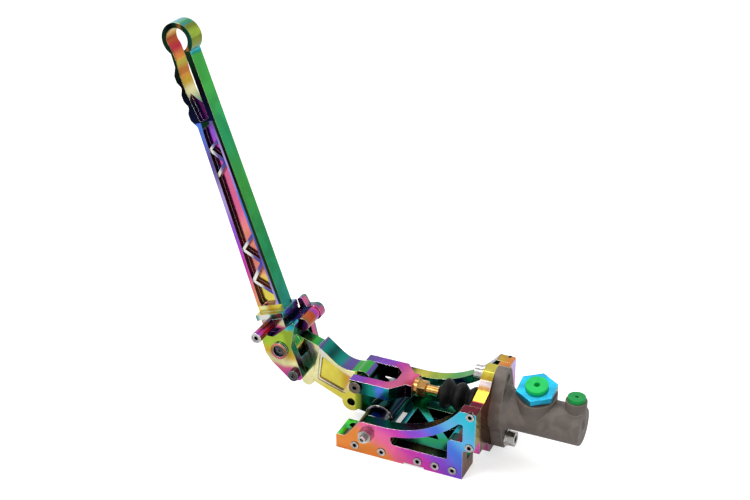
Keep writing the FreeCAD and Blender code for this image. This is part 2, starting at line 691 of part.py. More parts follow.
def make_base_plate():
    """The base plate: an H with scallops under the spacers and triangular pockets."""
    body = new_body("base_plate")
    notch = size["notch_half_width"]
    rear = low_end + size["rear_notch_depth"]
    front = high_end - size["front_notch_depth"]
    bolt_y = outer_face - size["floor_bolt_inset"]
    bolts = [(bolt_x, bolt_y * way, size["floor_bolt_radius"])
             for bolt_x in (low_end + size["floor_bolt_rear"], high_end - size["floor_bolt_front"])
             for way in (-1, 1)]
    inner = size["window_round"]
    outline = [
        corner(low_end, -inner_face), corner(high_end, -inner_face),
        corner(high_end, -notch), corner(front, -notch, inner), corner(front, notch, inner),
        corner(high_end, notch), corner(high_end, inner_face), corner(low_end, inner_face),
        corner(low_end, notch), corner(rear, notch, inner), corner(rear, -notch, inner),
        corner(low_end, -notch),
    ]
    pad(body, "base_blank", "XY_Plane", 0.0, size["base_thickness"], (outline,), bolts)
    hole_length = size["plate_screw_length"] + size["plate_screw_recess"] - size["side_thickness"]
    bottom_row = [(x, z, size["plate_screw_radius"]) for x, z in screw_places()
                  if z.number == side_screw_z.number]
    cut(body, "near_screw_holes", "XZ_Plane", inner_face, hole_length, (), bottom_row)
    cut(body, "far_screw_holes", "XZ_Plane", hole_length - inner_face, hole_length, (), bottom_row)
    scallop = size["spacer_radius"] + size["scallop_clearance"]
    cut(body, "spacer_scallops", "XZ_Plane", inner_face, inner_face * 2, (), ((pivot_x, pivot_z, scallop),))
    rib = size["truss_rib"]
    middle = (rear + front) / 2
    half_length = (front - rear) / 2 - rib
    half_width = notch - rib / 2
    slant = rib * 0.8
    triangles = []
    for way in (-1, 1):
        triangles.append([
            corner(middle - half_length + slant * 2, half_width * way),
            corner(middle + half_length - slant * 2, half_width * way),
            corner(middle, slant * way)][::way])
        triangles.append([
            corner(middle + half_length * way, -(half_width - slant)),
            corner(middle + half_length * way, half_width - slant),
            corner(middle + slant * way, 0.0)][::way])
    cut(body, "truss_pockets", "XY_Plane", size["base_thickness"], size["truss_depth"], triangles)
    return keep("base_plate", body)


def make_mount_plate():
    """The plate that carries the cylinder, with its stepped hump."""
    body = new_body("cylinder_mount_plate")
    bolt_low = size["axis_height"] - size["flange_bolt_spacing"] / 2
    bolt_high = size["axis_height"] + size["flange_bolt_spacing"] / 2
    hump_top = bolt_high + size["hump_top_rise"]
    drop = bolt_low - size["mount_plate_drop"]
    right = [
        corner(inner_face, size["mount_plate_floor"]),
        corner(inner_face, size["head_height"]),
        corner(size["hump_shoulder_half"], size["head_height"], size["window_round"]),
        corner(size["hump_step_half"], size["head_height"] + size["hump_step_rise"], size["edge_round"]),
        corner(size["hump_side_half"], hump_top - size["hump_side_fall"], size["edge_round"]),
        corner(size["hump_top_half"], hump_top, size["edge_round"]),
    ]
    left = [corner(-point["x"], point["y"], point["round"]) for point in reversed(right)]
    lower = [
        corner(-size["hump_step_half"], size["mount_plate_floor"], size["window_round"]),
        corner(-size["hump_side_half"], drop, size["window_round"]),
        corner(size["hump_side_half"], drop, size["window_round"]),
        corner(size["hump_step_half"], size["mount_plate_floor"], size["window_round"]),
    ]
    mouth = size["bore_radius"] + size["cup_clearance"]
    hole = size["flange_bolt_radius"] + size["flange_bolt_clearance"]
    pad(body, "mount_blank", "YZ_Plane", mount_plate_back, size["mount_plate_thickness"],
        (right + left + lower,),
        ((0.0, size["axis_height"], mouth), (0.0, bolt_low, hole), (0.0, bolt_high, hole)))
    hole_length = size["plate_screw_length"] + size["plate_screw_recess"] - size["side_thickness"]
    upright = [(plate_screw_x, height, size["plate_screw_radius"]) for height in upright_screw_heights]
    cut(body, "mount_near_holes", "XZ_Plane", inner_face, hole_length, (), upright)
    cut(body, "mount_far_holes", "XZ_Plane", hole_length - inner_face, hole_length, (), upright)
    return keep("cylinder_mount_plate", body)


def make_pivot():
    """The main pivot: shaft, spacers, bushes and nuts."""
    shaft = new_body("pivot_shaft")
    stub = outer_face + size["pivot_stub_length"]
    turned(shaft, "shaft_turned", bar_profile(
        (-stub, -outer_face, size["pivot_thread_radius"]),
        (-outer_face, outer_face, size["pivot_shaft_radius"]),
        (outer_face, stub, size["pivot_thread_radius"])))
    cut(shaft, "shaft_socket", "YZ_Plane", stub, size["pivot_stub_length"] / 3,
        (hexagon(size["pivot_thread_radius"]),))
    keep("pivot_shaft", place(shaft, pivot_x, 0.0, pivot_z, angle=TOWARDS_NEAR))
    gap = size["side_clearance"]
    for name, angle in (("pivot_spacer_near", TOWARDS_NEAR), ("pivot_spacer_far", TOWARDS_FAR)):
        way = -1 if angle < 0 else 1
        spacer = ring_body(name, size["spacer_radius"], size["pivot_shaft_radius"],
                           inner_face - hub_half - gap)
        keep(name, place(spacer, pivot_x, (hub_half + gap) * way, pivot_z, angle=angle))
    bushes = []
    nuts = []
    for way, angle in ((-1, TOWARDS_NEAR), (1, TOWARDS_FAR)):
        bush = ring_body(f"pivot_bush_{angle:.0f}".replace("-", "n"),
                         size["pivot_shaft_radius"] + size["running_clearance"] + size["bush_wall"],
                         size["pivot_shaft_radius"] + size["running_clearance"], size["bush_length"])
        bushes.append(place(bush, pivot_x, (hub_half - size["bush_length"]) * way, pivot_z, angle=angle))
        nut = nut_body(f"pivot_nut_{angle:.0f}".replace("-", "n"), size["pivot_nut_width"],
                       size["pivot_nut_height"], size["pivot_thread_radius"])
        nuts.append(place(nut, pivot_x, outer_face * way, pivot_z, angle=angle))
    group("pivot_bushes", bushes)
    group("pivot_nuts", nuts)


def along_cylinder(piece, offset=0.0):
    """Place a piece on the cylinder's axis, from the flange's seat."""
    return place(piece, seat_x + offset, 0.0, size["axis_height"])


def make_casting():
    """The cylinder's casting: flange, body, two bosses, bore and passages."""
    body = new_body("cylinder_casting")
    half = size["flange_bolt_spacing"] / 2
    lobe = size["flange_lobe_radius"]
    core = size["flange_core_radius"]
    thick = size["flange_thickness"]
    hole = size["flange_bolt_radius"] + size["flange_bolt_clearance"]
    slope = (core - lobe) / half
    side = root(1 - slope * slope)
    outline = [
        corner(-(lobe * side), -(half + lobe * slope), arc=lobe, turn=1),
        corner(lobe * side, -(half + lobe * slope)),
        corner(core * side, -(core * slope), arc=core, turn=1),
        corner(core * side, core * slope),
        corner(lobe * side, half + lobe * slope, arc=lobe, turn=1),
        corner(-(lobe * side), half + lobe * slope),
        corner(-(core * side), core * slope, arc=core, turn=1),
        corner(-(core * side), -(core * slope)),
    ]
    pad(body, "flange", "YZ_Plane", 0.0, thick, (outline,))
    round_off = size["edge_round"]
    flare = size["casting_flare"]
    turned(body, "barrel", [
        corner(0.0, 0.0),
        corner(0.0, size["casting_radius"] + flare),
        corner(thick, size["casting_radius"] + flare),
        corner(thick + flare * 1.3, size["casting_radius"], size["window_round"]),
        corner(size["casting_end"], size["casting_radius"], round_off),
        corner(size["casting_end"], 0.0),
    ])
    lean = size["inlet_lean"]
    excess = size["inlet_radius"] * sine(lean) + size["edge_round"]
    pad(body, "inlet_boss", "XY_Plane", 0.0, size["inlet_height"] + excess, (),
        ((size["inlet_offset"], 0.0, size["inlet_radius"]),))
    cut(body, "inlet_spot_face", "XY_Plane", size["inlet_height"], excess * 3, (),
        ((size["inlet_offset"], 0.0, size["inlet_radius"] + excess),), lean, True)
    pad(body, "outlet_boss", "XY_Plane", 0.0, size["outlet_height"], (),
        ((size["outlet_offset"], 0.0, size["outlet_radius"]),))
    cut(body, "bore", "YZ_Plane", size["bore_depth"], size["bore_depth"], (),
        ((0.0, 0.0, size["bore_radius"]),))
    cut(body, "flange_holes", "YZ_Plane", thick, thick, (), ((0.0, -half, hole), (0.0, half, hole)))
    cut(body, "inlet_thread", "XY_Plane", size["inlet_height"],
        size["inlet_height"] - size["inlet_thread_floor"], (),
        ((size["inlet_offset"], 0.0, size["inlet_thread_radius"]),), lean)
    cut(body, "outlet_thread", "XY_Plane", size["outlet_height"],
        size["outlet_height"] - size["outlet_thread_floor"], (),
        ((size["outlet_offset"], 0.0, size["outlet_thread_radius"]),))
    cut(body, "inlet_passage", "XY_Plane", size["inlet_thread_floor"],
        size["inlet_thread_floor"] - size["bore_radius"] / 2, (),
        ((size["inlet_offset"], 0.0, size["passage_radius"]),))
    outlet_passage_x = size["bore_depth"] - size["passage_radius"] * 2
    cut(body, "outlet_passage", "XY_Plane", size["outlet_thread_floor"] + size["passage_radius"],
        size["outlet_thread_floor"] + size["passage_radius"] - size["bore_radius"] / 2, (),
        ((outlet_passage_x, 0.0, size["passage_radius"]),))
    keep("cylinder_casting", along_cylinder(body))


def make_ports():
    """The inlet adapter with its seal ring, and the two port plugs."""
    top = size["axis_height"] + size["inlet_height"]
    inlet_x = seat_x + size["inlet_offset"]
    outlet_x = seat_x + size["outlet_offset"]
    ring = new_body("adapter_seal_ring")
    pad(ring, "seal_ring", "XY_Plane", 0.0, size["collar_ring_height"], (),
        ((0.0, 0.0, size["hexagon_width"] / 2), (0.0, 0.0, size["inlet_thread_radius"])))
    keep("adapter_seal_ring", place(ring, inlet_x, 0.0, top, axis=(1, 0, 0), angle=size["inlet_lean"]))
    adapter = new_body("inlet_adapter")
    seat = size["collar_ring_height"]
    stem = size["inlet_height"] - size["inlet_thread_floor"] - size["side_clearance"]
    pad(adapter, "adapter_stem", "XY_Plane", -stem, stem + seat, (),
        ((0.0, 0.0, size["inlet_thread_radius"]),))
    pad(adapter, "adapter_hexagon", "XY_Plane", seat, size["hexagon_height"],
        (hexagon(size["hexagon_width"]),))
    cut(adapter, "adapter_bore", "XY_Plane", seat + size["hexagon_height"],
        seat + size["hexagon_height"] + stem, (), ((0.0, 0.0, size["adapter_bore_radius"]),))
    keep("inlet_adapter", place(adapter, inlet_x, 0.0, top, axis=(1, 0, 0), angle=size["inlet_lean"]))
    plug = new_body("inlet_plug")
    stem = size["hexagon_height"]
    pad(plug, "inlet_plug_stem", "XY_Plane", -stem, stem, (), ((0.0, 0.0, size["adapter_bore_radius"]),))
    pad(plug, "inlet_plug_cap", "XY_Plane", 0.0, size["inlet_plug_height"], (),
        ((0.0, 0.0, size["inlet_plug_radius"]),))
    cut(plug, "inlet_plug_hole", "XY_Plane", size["inlet_plug_height"], size["inlet_plug_height"] + stem / 2,
        (), ((0.0, 0.0, size["plug_hole_radius"]),))
    rise = seat + size["hexagon_height"]
    lean = size["inlet_lean"]
    keep("inlet_plug", place(plug, inlet_x, -(rise * sine(lean)), top + rise * cosine(lean),
                             axis=(1, 0, 0), angle=lean))
    plug = new_body("outlet_plug")
    stem = size["outlet_height"] / 3
    pad(plug, "outlet_plug_stem", "XY_Plane", -stem, stem, (), ((0.0, 0.0, size["outlet_thread_radius"]),))
    pad(plug, "outlet_plug_cap", "XY_Plane", 0.0, size["outlet_plug_height"], (),
        ((0.0, 0.0, size["outlet_plug_radius"]),))
    cut(plug, "outlet_plug_hole", "XY_Plane", size["outlet_plug_height"], size["outlet_plug_height"], (),
        ((0.0, 0.0, size["passage_radius"]),))
    keep("outlet_plug", place(plug, outlet_x, 0.0, size["axis_height"] + size["outlet_height"]))


def make_flange_bolts():
    """The two flange bolts with washers: one headed behind the plate, one on the flange."""
    half = size["flange_bolt_spacing"] / 2
    washer = size["flange_washer_thickness"]
    reach = size["mount_plate_thickness"] + size["flange_thickness"] + washer - size["edge_round"]
    bolts, washers = [], []
    ends = ((mount_plate_back, half, 180.0, -1), (seat_x + size["flange_thickness"], -half, 0.0, 1))
    for number, (head_x, height, turn, way) in enumerate(ends):
        z = size["axis_height"] + height
        bolt = screw_body(f"flange_bolt_{number}", size["flange_bolt_radius"], reach,
                          size["flange_head_radius"], size["flange_head_height"], size["flange_socket"])
        bolts.append(place(bolt, head_x + washer * way, 0.0, z, angle=turn))
        ring = ring_body(f"flange_washer_{number}", size["flange_washer_radius"],
                         size["flange_bolt_radius"], washer)
        washers.append(place(ring, head_x, 0.0, z, angle=turn))
    group("flange_bolts", bolts)
    group("flange_washers", washers)


def make_piston():
    """The piston with a cup for the pushrod's ball, and its two seals."""
    body = new_body("piston")
    start = size["piston_start"]
    end = start + size["piston_length"]
    radius = size["bore_radius"] - size["running_clearance"]
    groove = radius - size["seal_depth"]
    first = start + size["piston_length"] * 0.4
    second = end - size["seal_width"] * 2
    turned(body, "piston_turned", bar_profile(
        (start, first, radius), (first, first + size["seal_width"], groove),
        (first + size["seal_width"], second, radius), (second, second + size["seal_width"], groove),
        (second + size["seal_width"], end, radius)))
    cup = size["ball_radius"] + size["cup_clearance"]
    floor = size["ball_offset"] + cup
    cut(body, "piston_cup", "YZ_Plane", floor, floor - start, (), ((0.0, 0.0, cup),))
    keep("piston", along_cylinder(body))
    seals = []
    for number, place_x in enumerate((first, second)):
        seal = ring_body(f"piston_seal_{number}", radius, groove, size["seal_width"])
        seals.append(along_cylinder(seal, place_x))
    group("piston_seals", seals)
    circlip = ring_body("piston_circlip", size["bore_radius"], size["bore_radius"] - size["seal_depth"],
                        size["boot_wall"])
    keep("piston_circlip", along_cylinder(circlip, start - size["boot_wall"] - size["side_clearance"]))
    return end


def make_spring(piston_end):
    """The return spring between the piston and the bore's floor: a swept helix."""
    wire = size["spring_wire_radius"].number
    radius = size["spring_radius"].number
    length = (size["bore_depth"] - piston_end).number - 2 * wire - size["side_clearance"].number
    pitch = length / size["spring_turns"].number
    helix = Part.makeHelix(pitch, length, radius)
    section = Part.Wire([Part.makeCircle(wire, FreeCAD.Vector(radius, 0, 0), FreeCAD.Vector(0, 1, 0))])
    spring = document.addObject("Part::Feature", "return_spring")
    spring.Shape = Part.Wire(helix).makePipeShell([section], True, True)
    start = seat_x + piston_end + size["spring_wire_radius"] + size["side_clearance"] / 2
    keep("return_spring", place(spring, start, 0.0, size["axis_height"], axis=(0, 1, 0), angle=90.0))


def make_yoke():
    """The yoke: a fork with a tapered root and a neck, on the clevis pin."""
    body = new_body("yoke")
    half = size["yoke_width"] / 2
    slot = size["yoke_slot_width"] / 2
    neck = size["yoke_neck_width"] / 2
    end = size["yoke_slot_end"]
    shoulder = slot / 2
    outline = [
        corner(-size["yoke_tail"], -half), corner(size["yoke_arm"], -half),
        corner(size["yoke_neck_start"], -neck), corner(size["yoke_length"], -neck),
        corner(size["yoke_length"], neck), corner(size["yoke_neck_start"], neck),
        corner(size["yoke_arm"], half), corner(-size["yoke_tail"], half),
        corner(-size["yoke_tail"], slot), corner(end - shoulder, slot, size["edge_round"]),
        corner(end, slot - shoulder, size["edge_round"]),
        corner(end, shoulder - slot, size["edge_round"]),
        corner(end - shoulder, -slot, size["edge_round"]),
        corner(-size["yoke_tail"], -slot),
    ]
    pad(body, "yoke_plan", "XY_Plane", -(size["yoke_height"] / 2), size["yoke_height"], (outline,))
    cut(body, "yoke_pin_hole", "XZ_Plane", half, size["yoke_width"], (),
        ((0.0, 0.0, size["clevis_pin_radius"]),))
    hole_top = size["yoke_length"]
    cut(body, "yoke_rod_hole", "YZ_Plane", hole_top, hole_top - end - size["edge_round"], (),
        ((0.0, 0.0, size["pushrod_radius"]),))
    keep("yoke", place(body, clevis_x, 0.0, size["axis_height"]))


clevis_x = pivot_x - size["clevis_setback"]


def make_clevis_pin():
    """The clevis pin with its head, clip and the washers beside the lever's eye."""
    half = size["yoke_width"] / 2
    slot = size["yoke_slot_width"] / 2
    clip = size["clevis_clip_height"]
    pin = new_body("clevis_pin")
    turned(pin, "clevis_turned", bar_profile(
        (-(half + clip * 2), half, size["clevis_pin_radius"]),
        (half, half + size["clevis_head_height"], size["clevis_head_radius"])))
    cut(pin, "clevis_socket", "YZ_Plane", half + size["clevis_head_height"], size["clevis_head_height"] * 0.6,
        (hexagon(size["clevis_pin_radius"]),))
    keep("clevis_pin", place(pin, clevis_x, 0.0, size["axis_height"], angle=TOWARDS_NEAR))
    ring = ring_body("clevis_clip", size["clevis_head_radius"], size["clevis_pin_radius"], clip)
    keep("clevis_clip", place(ring, clevis_x, half, size["axis_height"], angle=TOWARDS_FAR))
    washers = []
    gap = size["side_clearance"]
    length = slot - size["lever_thickness"] / 2 - gap
    for angle in (TOWARDS_NEAR, TOWARDS_FAR):
        way = -1 if angle < 0 else 1
        washer = ring_body(f"clevis_washer_{way + 1}", size["clevis_head_radius"],
                           size["clevis_pin_radius"], length)
        washers.append(place(washer, clevis_x, (size["lever_thickness"] / 2 + gap) * way,
                             size["axis_height"], angle=angle))
    group("clevis_washers", washers)


def make_pushrod():
    """The pushrod with its ball end, and the jam nut that locks it in the yoke."""
    body = new_body("pushrod")
    start = clevis_x + size["yoke_slot_end"] + size["edge_round"] - seat_x
    centre = size["ball_offset"]
    radius = size["pushrod_radius"]
    ball = size["ball_radius"]
    meet = centre - root(ball * ball - radius * radius)
    turned(body, "pushrod_turned", [
        corner(start, 0.0), corner(start, radius), corner(meet, radius, arc=ball, turn=-1),
        corner(centre, ball, arc=ball, turn=-1), corner(centre + ball, 0.0)])
    keep("pushrod", along_cylinder(body))
    nut = new_body("jam_nut")
    hexagon_start = size["jam_collar_length"]
    bore = (0.0, 0.0, radius)
    pad(nut, "jam_collar", "YZ_Plane", 0.0, hexagon_start, (),
        ((0.0, 0.0, size["jam_collar_radius"]), bore))
    pad(nut, "jam_hexagon", "YZ_Plane", hexagon_start, size["jam_nut_length"],
        (hexagon(size["jam_nut_width"]),), (bore,))
    keep("jam_nut", along_cylinder(nut, clevis_x + size["yoke_length"] - seat_x))


def make_boot():
    """The dust boot: a bellows of rounded folds, smaller towards the cylinder."""
    body = new_body("dust_boot")
    wall = size["boot_wall"]
    end = mount_plate_back - seat_x
    nut_end = clevis_x + size["yoke_length"] + size["jam_nut_length"] + size["jam_collar_length"]
    start = nut_end + size["boot_gap"] - seat_x
    pitch = (end - start) * 0.2375
    fold_round = pitch * 0.158
    folds = 3
    mouth = size["pushrod_radius"] + size["side_clearance"]
    outer = [corner(start, mouth), corner(start, mouth + wall)]
    inner = []
    for number in range(folds):
        crest = size["boot_lobe_radius"] - size["boot_lobe_fall"] * number
        valley = crest - size["boot_valley_depth"]
        middle = start + pitch * (number + 0.75)
        outer += [corner(middle - pitch * 0.28, crest, fold_round),
                  corner(middle + pitch * 0.28, crest, fold_round),
                  corner(middle + pitch * 0.5, valley)]
        inner += [corner(middle - pitch * 0.18, crest - wall), corner(middle + pitch * 0.18, crest - wall),
                  corner(middle + pitch * 0.5, valley - wall)]
    lip = size["bore_radius"] + size["cup_clearance"] + wall
    outer += [corner(end, lip)]
    inner += [corner(end, lip - wall)]
    turned(body, "boot_turned", outer + inner[::-1])
    keep("dust_boot", along_cylinder(body))


def behind(reach):
    """A place along X behind the main pivot."""
    return pivot_x - reach


elbow_x = behind(size["elbow_reach"])
elbow_z = size["elbow_height"]


def polar(radius, angle):
    """Offsets from the elbow pivot at an angle forward of straight down."""
    return elbow_x + radius * sine(angle), elbow_z - radius * cosine(angle)


def make_lever():
    """The lower lever: gooseneck plate, hub, eye, lug, lobe, tongue and panels."""
    body = new_body("lower_lever")
    half = size["lever_thickness"] / 2
    eye_top = size["axis_height"] + size["eye_radius"]
    back = [
        corner(behind(size["neck_reach"]), size["neck_height"], size["edge_round"]),
        corner(behind(size["neck_reach"] - size["neck_bevel"]),
               size["neck_height"] - size["neck_bevel"] * 1.1),
        corner(behind(size["saddle_reach"]), size["saddle_height"], size["saddle_round"]),
        corner(clevis_x, eye_top),
        corner(clevis_x + size["eye_radius"], size["axis_height"]),
        corner(pivot_x + size["hub_radius"] * 0.7, pivot_z + size["hub_radius"] * 0.6),
        corner(pivot_x, pivot_z - size["hub_radius"] * 0.7),
        corner(behind(size["lug_reach"]), size["lug_height"] - size["lug_radius"] * 0.5),
        corner(behind(size["lug_reach"] + size["lug_radius"] * 0.75), size["lug_height"]),
        corner(behind(size["belly_reach"]), size["belly_height"] - size["edge_round"] * 0.8,
               size["edge_round"]),
        corner(behind(size["belly_reach"] + size["edge_round"]), size["belly_height"] + size["chin_radius"]),
        corner(behind(size["neck_reach"] - size["neck_bevel"]), size["neck_height"] - size["neck_bevel"] * 2,
               size["edge_round"]),
    ]
    pad(body, "gooseneck", "XZ_Plane", -half, size["lever_thickness"], (back[::-1],))
    round_parts = (
        ("eye", clevis_x, size["axis_height"], size["eye_radius"]),
        ("lug", behind(size["lug_reach"]), size["lug_height"], size["lug_radius"]),
    )
    for name, x, z, radius in round_parts:
        pad(body, name, "XZ_Plane", -half, size["lever_thickness"], (), ((x, z, radius),))
    pad(body, "hub", "XZ_Plane", -hub_half, size["hub_length"], (), ((pivot_x, pivot_z, size["hub_radius"]),))
    tongue_half = size["tongue_thickness"] / 2
    reach = size["lock_radius"] + size["knuckle_radius"] * 0.75
    low_back = polar(reach, size["lock_angle"] - size["lock_travel"] * 3)
    knuckle = size["knuckle_radius"]
    tongue = [
        corner(behind(size["neck_reach"]) + half, size["neck_height"] - half),
        corner(elbow_x, elbow_z + knuckle),
        corner(elbow_x - knuckle, elbow_z + knuckle * 0.3),
        corner(*low_back, size["window_round"]),
        corner(behind(size["chin_reach"]), size["chin_height"]),
        corner(behind(size["belly_reach"]) + half, size["belly_height"]),
    ]
    pad(body, "tongue", "XZ_Plane", -tongue_half, size["tongue_thickness"], (tongue,))
    pad(body, "chin", "XZ_Plane", -tongue_half, size["tongue_thickness"], (),
        ((behind(size["chin_reach"]), size["chin_height"], size["chin_radius"]),))
    knuckle_half = size["ear_gap"] / 2 - size["side_clearance"]
    pad(body, "knuckle", "XZ_Plane", -knuckle_half, knuckle_half * 2, (), ((elbow_x, elbow_z, knuckle),))
    fit = size["running_clearance"]
    bush = size["pivot_shaft_radius"] + fit + size["bush_wall"]
    cut(body, "hub_bore", "XZ_Plane", hub_half, size["hub_length"], (), ((pivot_x, pivot_z, bush),))
    cut(body, "eye_bore", "XZ_Plane", half, size["lever_thickness"], (),
        ((clevis_x, size["axis_height"], size["clevis_pin_radius"] + fit),))
    cut(body, "lug_hole", "XZ_Plane", half, size["lever_thickness"], (),
        ((behind(size["lug_reach"]), size["lug_height"], size["lug_hole_radius"]),))
    cut(body, "elbow_bore", "XZ_Plane", knuckle_half, knuckle_half * 2, (),
        ((elbow_x, elbow_z, size["elbow_bolt_radius"] + fit),))
    cut_lock_slot(body, tongue_half)
    for name, way in (("near", 1), ("far", -1)):
        for step, depth in ((as_size(0.0), size["panel_step_depth"]),
                            (size["panel_step"], size["panel_depth"])):
            top = half if way > 0 else -half + depth
            cut(body, f"{name}_panel_{step.number > 0:d}", "XZ_Plane", top, depth, (panel_outline(step),))
    keep("lower_lever", body)


def cut_lock_slot(body, half):
    """Arc slot about the elbow pivot in which the lock bolt moves."""
    half_width = size["lock_bolt_radius"] + size["lock_slot_clearance"]
    inner = size["lock_radius"] - half_width
    outer = size["lock_radius"] + half_width
    first = size["lock_angle"] - size["lock_travel"]
    last = size["lock_angle"] + size["lock_travel"]
    sector = [
        corner(*polar(inner, first)),
        corner(*polar(outer, first), arc=outer, turn=1),
        corner(*polar(outer, last)),
        corner(*polar(inner, last), arc=inner, turn=-1),
    ]
    cut(body, "lock_slot", "XZ_Plane", half, half * 2, (sector,))
    ends = [(*polar(size["lock_radius"], angle), half_width) for angle in (first, last)]
    cut(body, "lock_slot_ends", "XZ_Plane", half, half * 2, (), ends)


def panel_outline(step):
    """Recessed panel on the gooseneck's side, drawn in from its edges."""
    margin = size["panel_margin"]
    left = behind(size["neck_reach"]) + margin * 2
    lug_x = behind(size["lug_reach"])
    return [
        corner(left - margin + step, size["belly_height"] + margin / 2 + step, size["edge_round"]),
        corner(lug_x - size["lug_radius"] * 0.7 - step, size["lug_height"] + size["lug_radius"] * 0.8 + step,
               size["edge_round"]),
        corner(lug_x - step, size["axis_height"] - step, size["edge_round"]),
        corner(left + step, size["neck_height"] - margin * 3.6 - step * 2, size["edge_round"]),
    ]


def at_elbow(piece, y=0.0):
    """Place a piece in the handle's leaning frame, whose origin is the elbow pivot."""
    return place(piece, elbow_x, y, elbow_z, axis=(0, -1, 0), angle=size["handle_lean"])


def make_handle():
    """The handle: tapered bar, foot, finger grooves, ring, slot and side pockets."""
    body = new_body("handle")
    half = size["handle_thickness"] / 2
    front = size["handle_front"]
    foot = size["handle_foot"]
    back_low = front - size["handle_foot_width"]
    back_high = front - size["handle_grip_width"]
    crest = front - size["grip_crest_width"]
    valley = front - size["grip_valley_width"]
    pitch = size["grip_pitch"]
    grip = foot + size["grip_start"]
    groove_round = size["grip_pitch"] / 5
    ring_x = front - size["ring_inset"]
    ring_z = foot + size["ring_height"]
    outline = [corner(back_low, foot), corner(front, foot), corner(front, ring_z),
               corner(ring_x - size["ring_hole_radius"], ring_z)]
    neck = front - size["grip_neck_width"]
    outline += [corner(neck, grip + pitch * 3.17, groove_round)]
    for number in (2, 1, 0):
        outline += [corner(crest, grip + pitch * (number + 0.75), groove_round),
                    corner(crest, grip + pitch * (number + 0.4), groove_round)]
        if number:
            outline += [corner(valley, grip + pitch * (number + 0.08), groove_round)]
    outline += [corner(back_high, grip)]
    pad(body, "bar", "XZ_Plane", -half, size["handle_thickness"], (outline,))
    pad(body, "ring", "XZ_Plane", -half, size["handle_thickness"], (),
        ((ring_x, ring_z, size["ring_radius"]),))
    lip = size["foot_lip"]
    rise = foot + size["foot_block_height"]
    foot_side = box_outline(back_low - lip, foot, front + lip, rise)
    pad(body, "foot", "XZ_Plane", -size["foot_block_far"], size["foot_block_far"] + size["foot_block_near"],
        (foot_side,))
    slot_end = foot + size["grip_slot_end"]
    slot_front = front - size["grip_slot_wall"]
    slot_back = slot_front - size["grip_slot_width"]
    slot_foot = grip + pitch * 1.72
    slot = [
        corner(slot_front, slot_end, size["edge_round"] / 2),
        corner(slot_front, ring_z),
        corner(ring_x - size["ring_hole_radius"] * 0.9, ring_z),
        corner(slot_back + size["edge_round"], grip + pitch * 3.43, groove_round),
        corner(slot_back, grip + pitch * 2.7, groove_round),
        corner(slot_back, slot_foot, size["edge_round"]),
    ]
    overlap = size["edge_round"] * 2
    grip_pocket = [
        corner(slot_back + overlap, slot_end - size["grip_pocket_reach"], size["edge_round"]),
        corner(slot_front, slot_end - size["grip_pocket_reach"] * 0.8, size["edge_round"]),
        corner(slot_front, slot_end + overlap),
        corner(slot_back, slot_foot + overlap),
    ]
    cut(body, "grip_slot", "XZ_Plane", half, size["handle_thickness"], (slot,))
    cut(body, "ring_hole", "XZ_Plane", half, size["handle_thickness"], (),
        ((ring_x, ring_z, size["ring_hole_radius"]),))
    for name, way in (("near", 1), ("far", -1)):
        top = half if way > 0 else size["web_depth"] - half
        cut(body, f"{name}_web", "XZ_Plane", top, size["web_depth"], (web_outline(), grip_pocket))
        floor = half - size["web_depth"] if way > 0 else size["web_depth"] - half - size["rib_height"]
        pad(body, f"{name}_ribs", "XZ_Plane", floor, size["rib_height"], zigzag_outlines())
    keep("handle", at_elbow(body))


def web_outline():
    """Outline of the handle's side pocket."""
    rim = size["web_rim"]
    front = size["handle_front"] - size["web_front_rim"]
    low = size["handle_foot"] + size["web_start"]
    high = size["handle_foot"] + size["web_end"]
    back_low = size["handle_front"] - size["handle_foot_width"] + rim
    back_high = size["handle_front"] - size["handle_grip_width"] + rim
    return [
        corner(back_low, low, size["window_round"]),
        corner(front, low, size["window_round"]),
        corner(front, high, size["edge_round"]),
        corner(back_high, high - size["handle_grip_width"] / 4, size["edge_round"]),
    ]


LOW_RIB_ENDS = ((0.53, 1), (1.58, 0), (2.63, 1), (3.55, 0), (4.5, 1))
HIGH_RIB_ENDS = ((-3.15, 0), (-2.33, 1), (-1.51, 0), (-0.93, 1))


def zigzag_outlines():
    """Two zigzag ribs in the side pocket, one near each of its ends.

    A slanting rib's ends are given in rib pitches from the pocket's end, with 1 where one meets the front.
    """
    width = size["rib_width"]
    rim = size["web_rim"]
    low = size["handle_foot"] + size["web_start"]
    high = size["handle_foot"] + size["web_end"]
    back_low = size["handle_front"] - size["handle_foot_width"] + rim
    taper = (size["handle_foot_width"] - size["handle_grip_width"]) / (high - low)
    outlines = []
    for start, ends in ((low, LOW_RIB_ENDS), (high, HIGH_RIB_ENDS)):
        left = []
        for number, (share, at_front) in enumerate(ends):
            level = start + size["rib_pitch"] * share
            last = number in (0, len(ends) - 1)
            if at_front:
                inset = size["side_clearance"] if last else size["web_front_rim"] - size["edge_round"]
                left.append((size["handle_front"] - inset - width, level))
            else:
                inset = rim - size["side_clearance"] if last else size["edge_round"]
                left.append((back_low + taper * (level - low) - inset, level))
        outlines.append([corner(x + width, z) for x, z in left] + [corner(x, z) for x, z in reversed(left)])
    return outlines


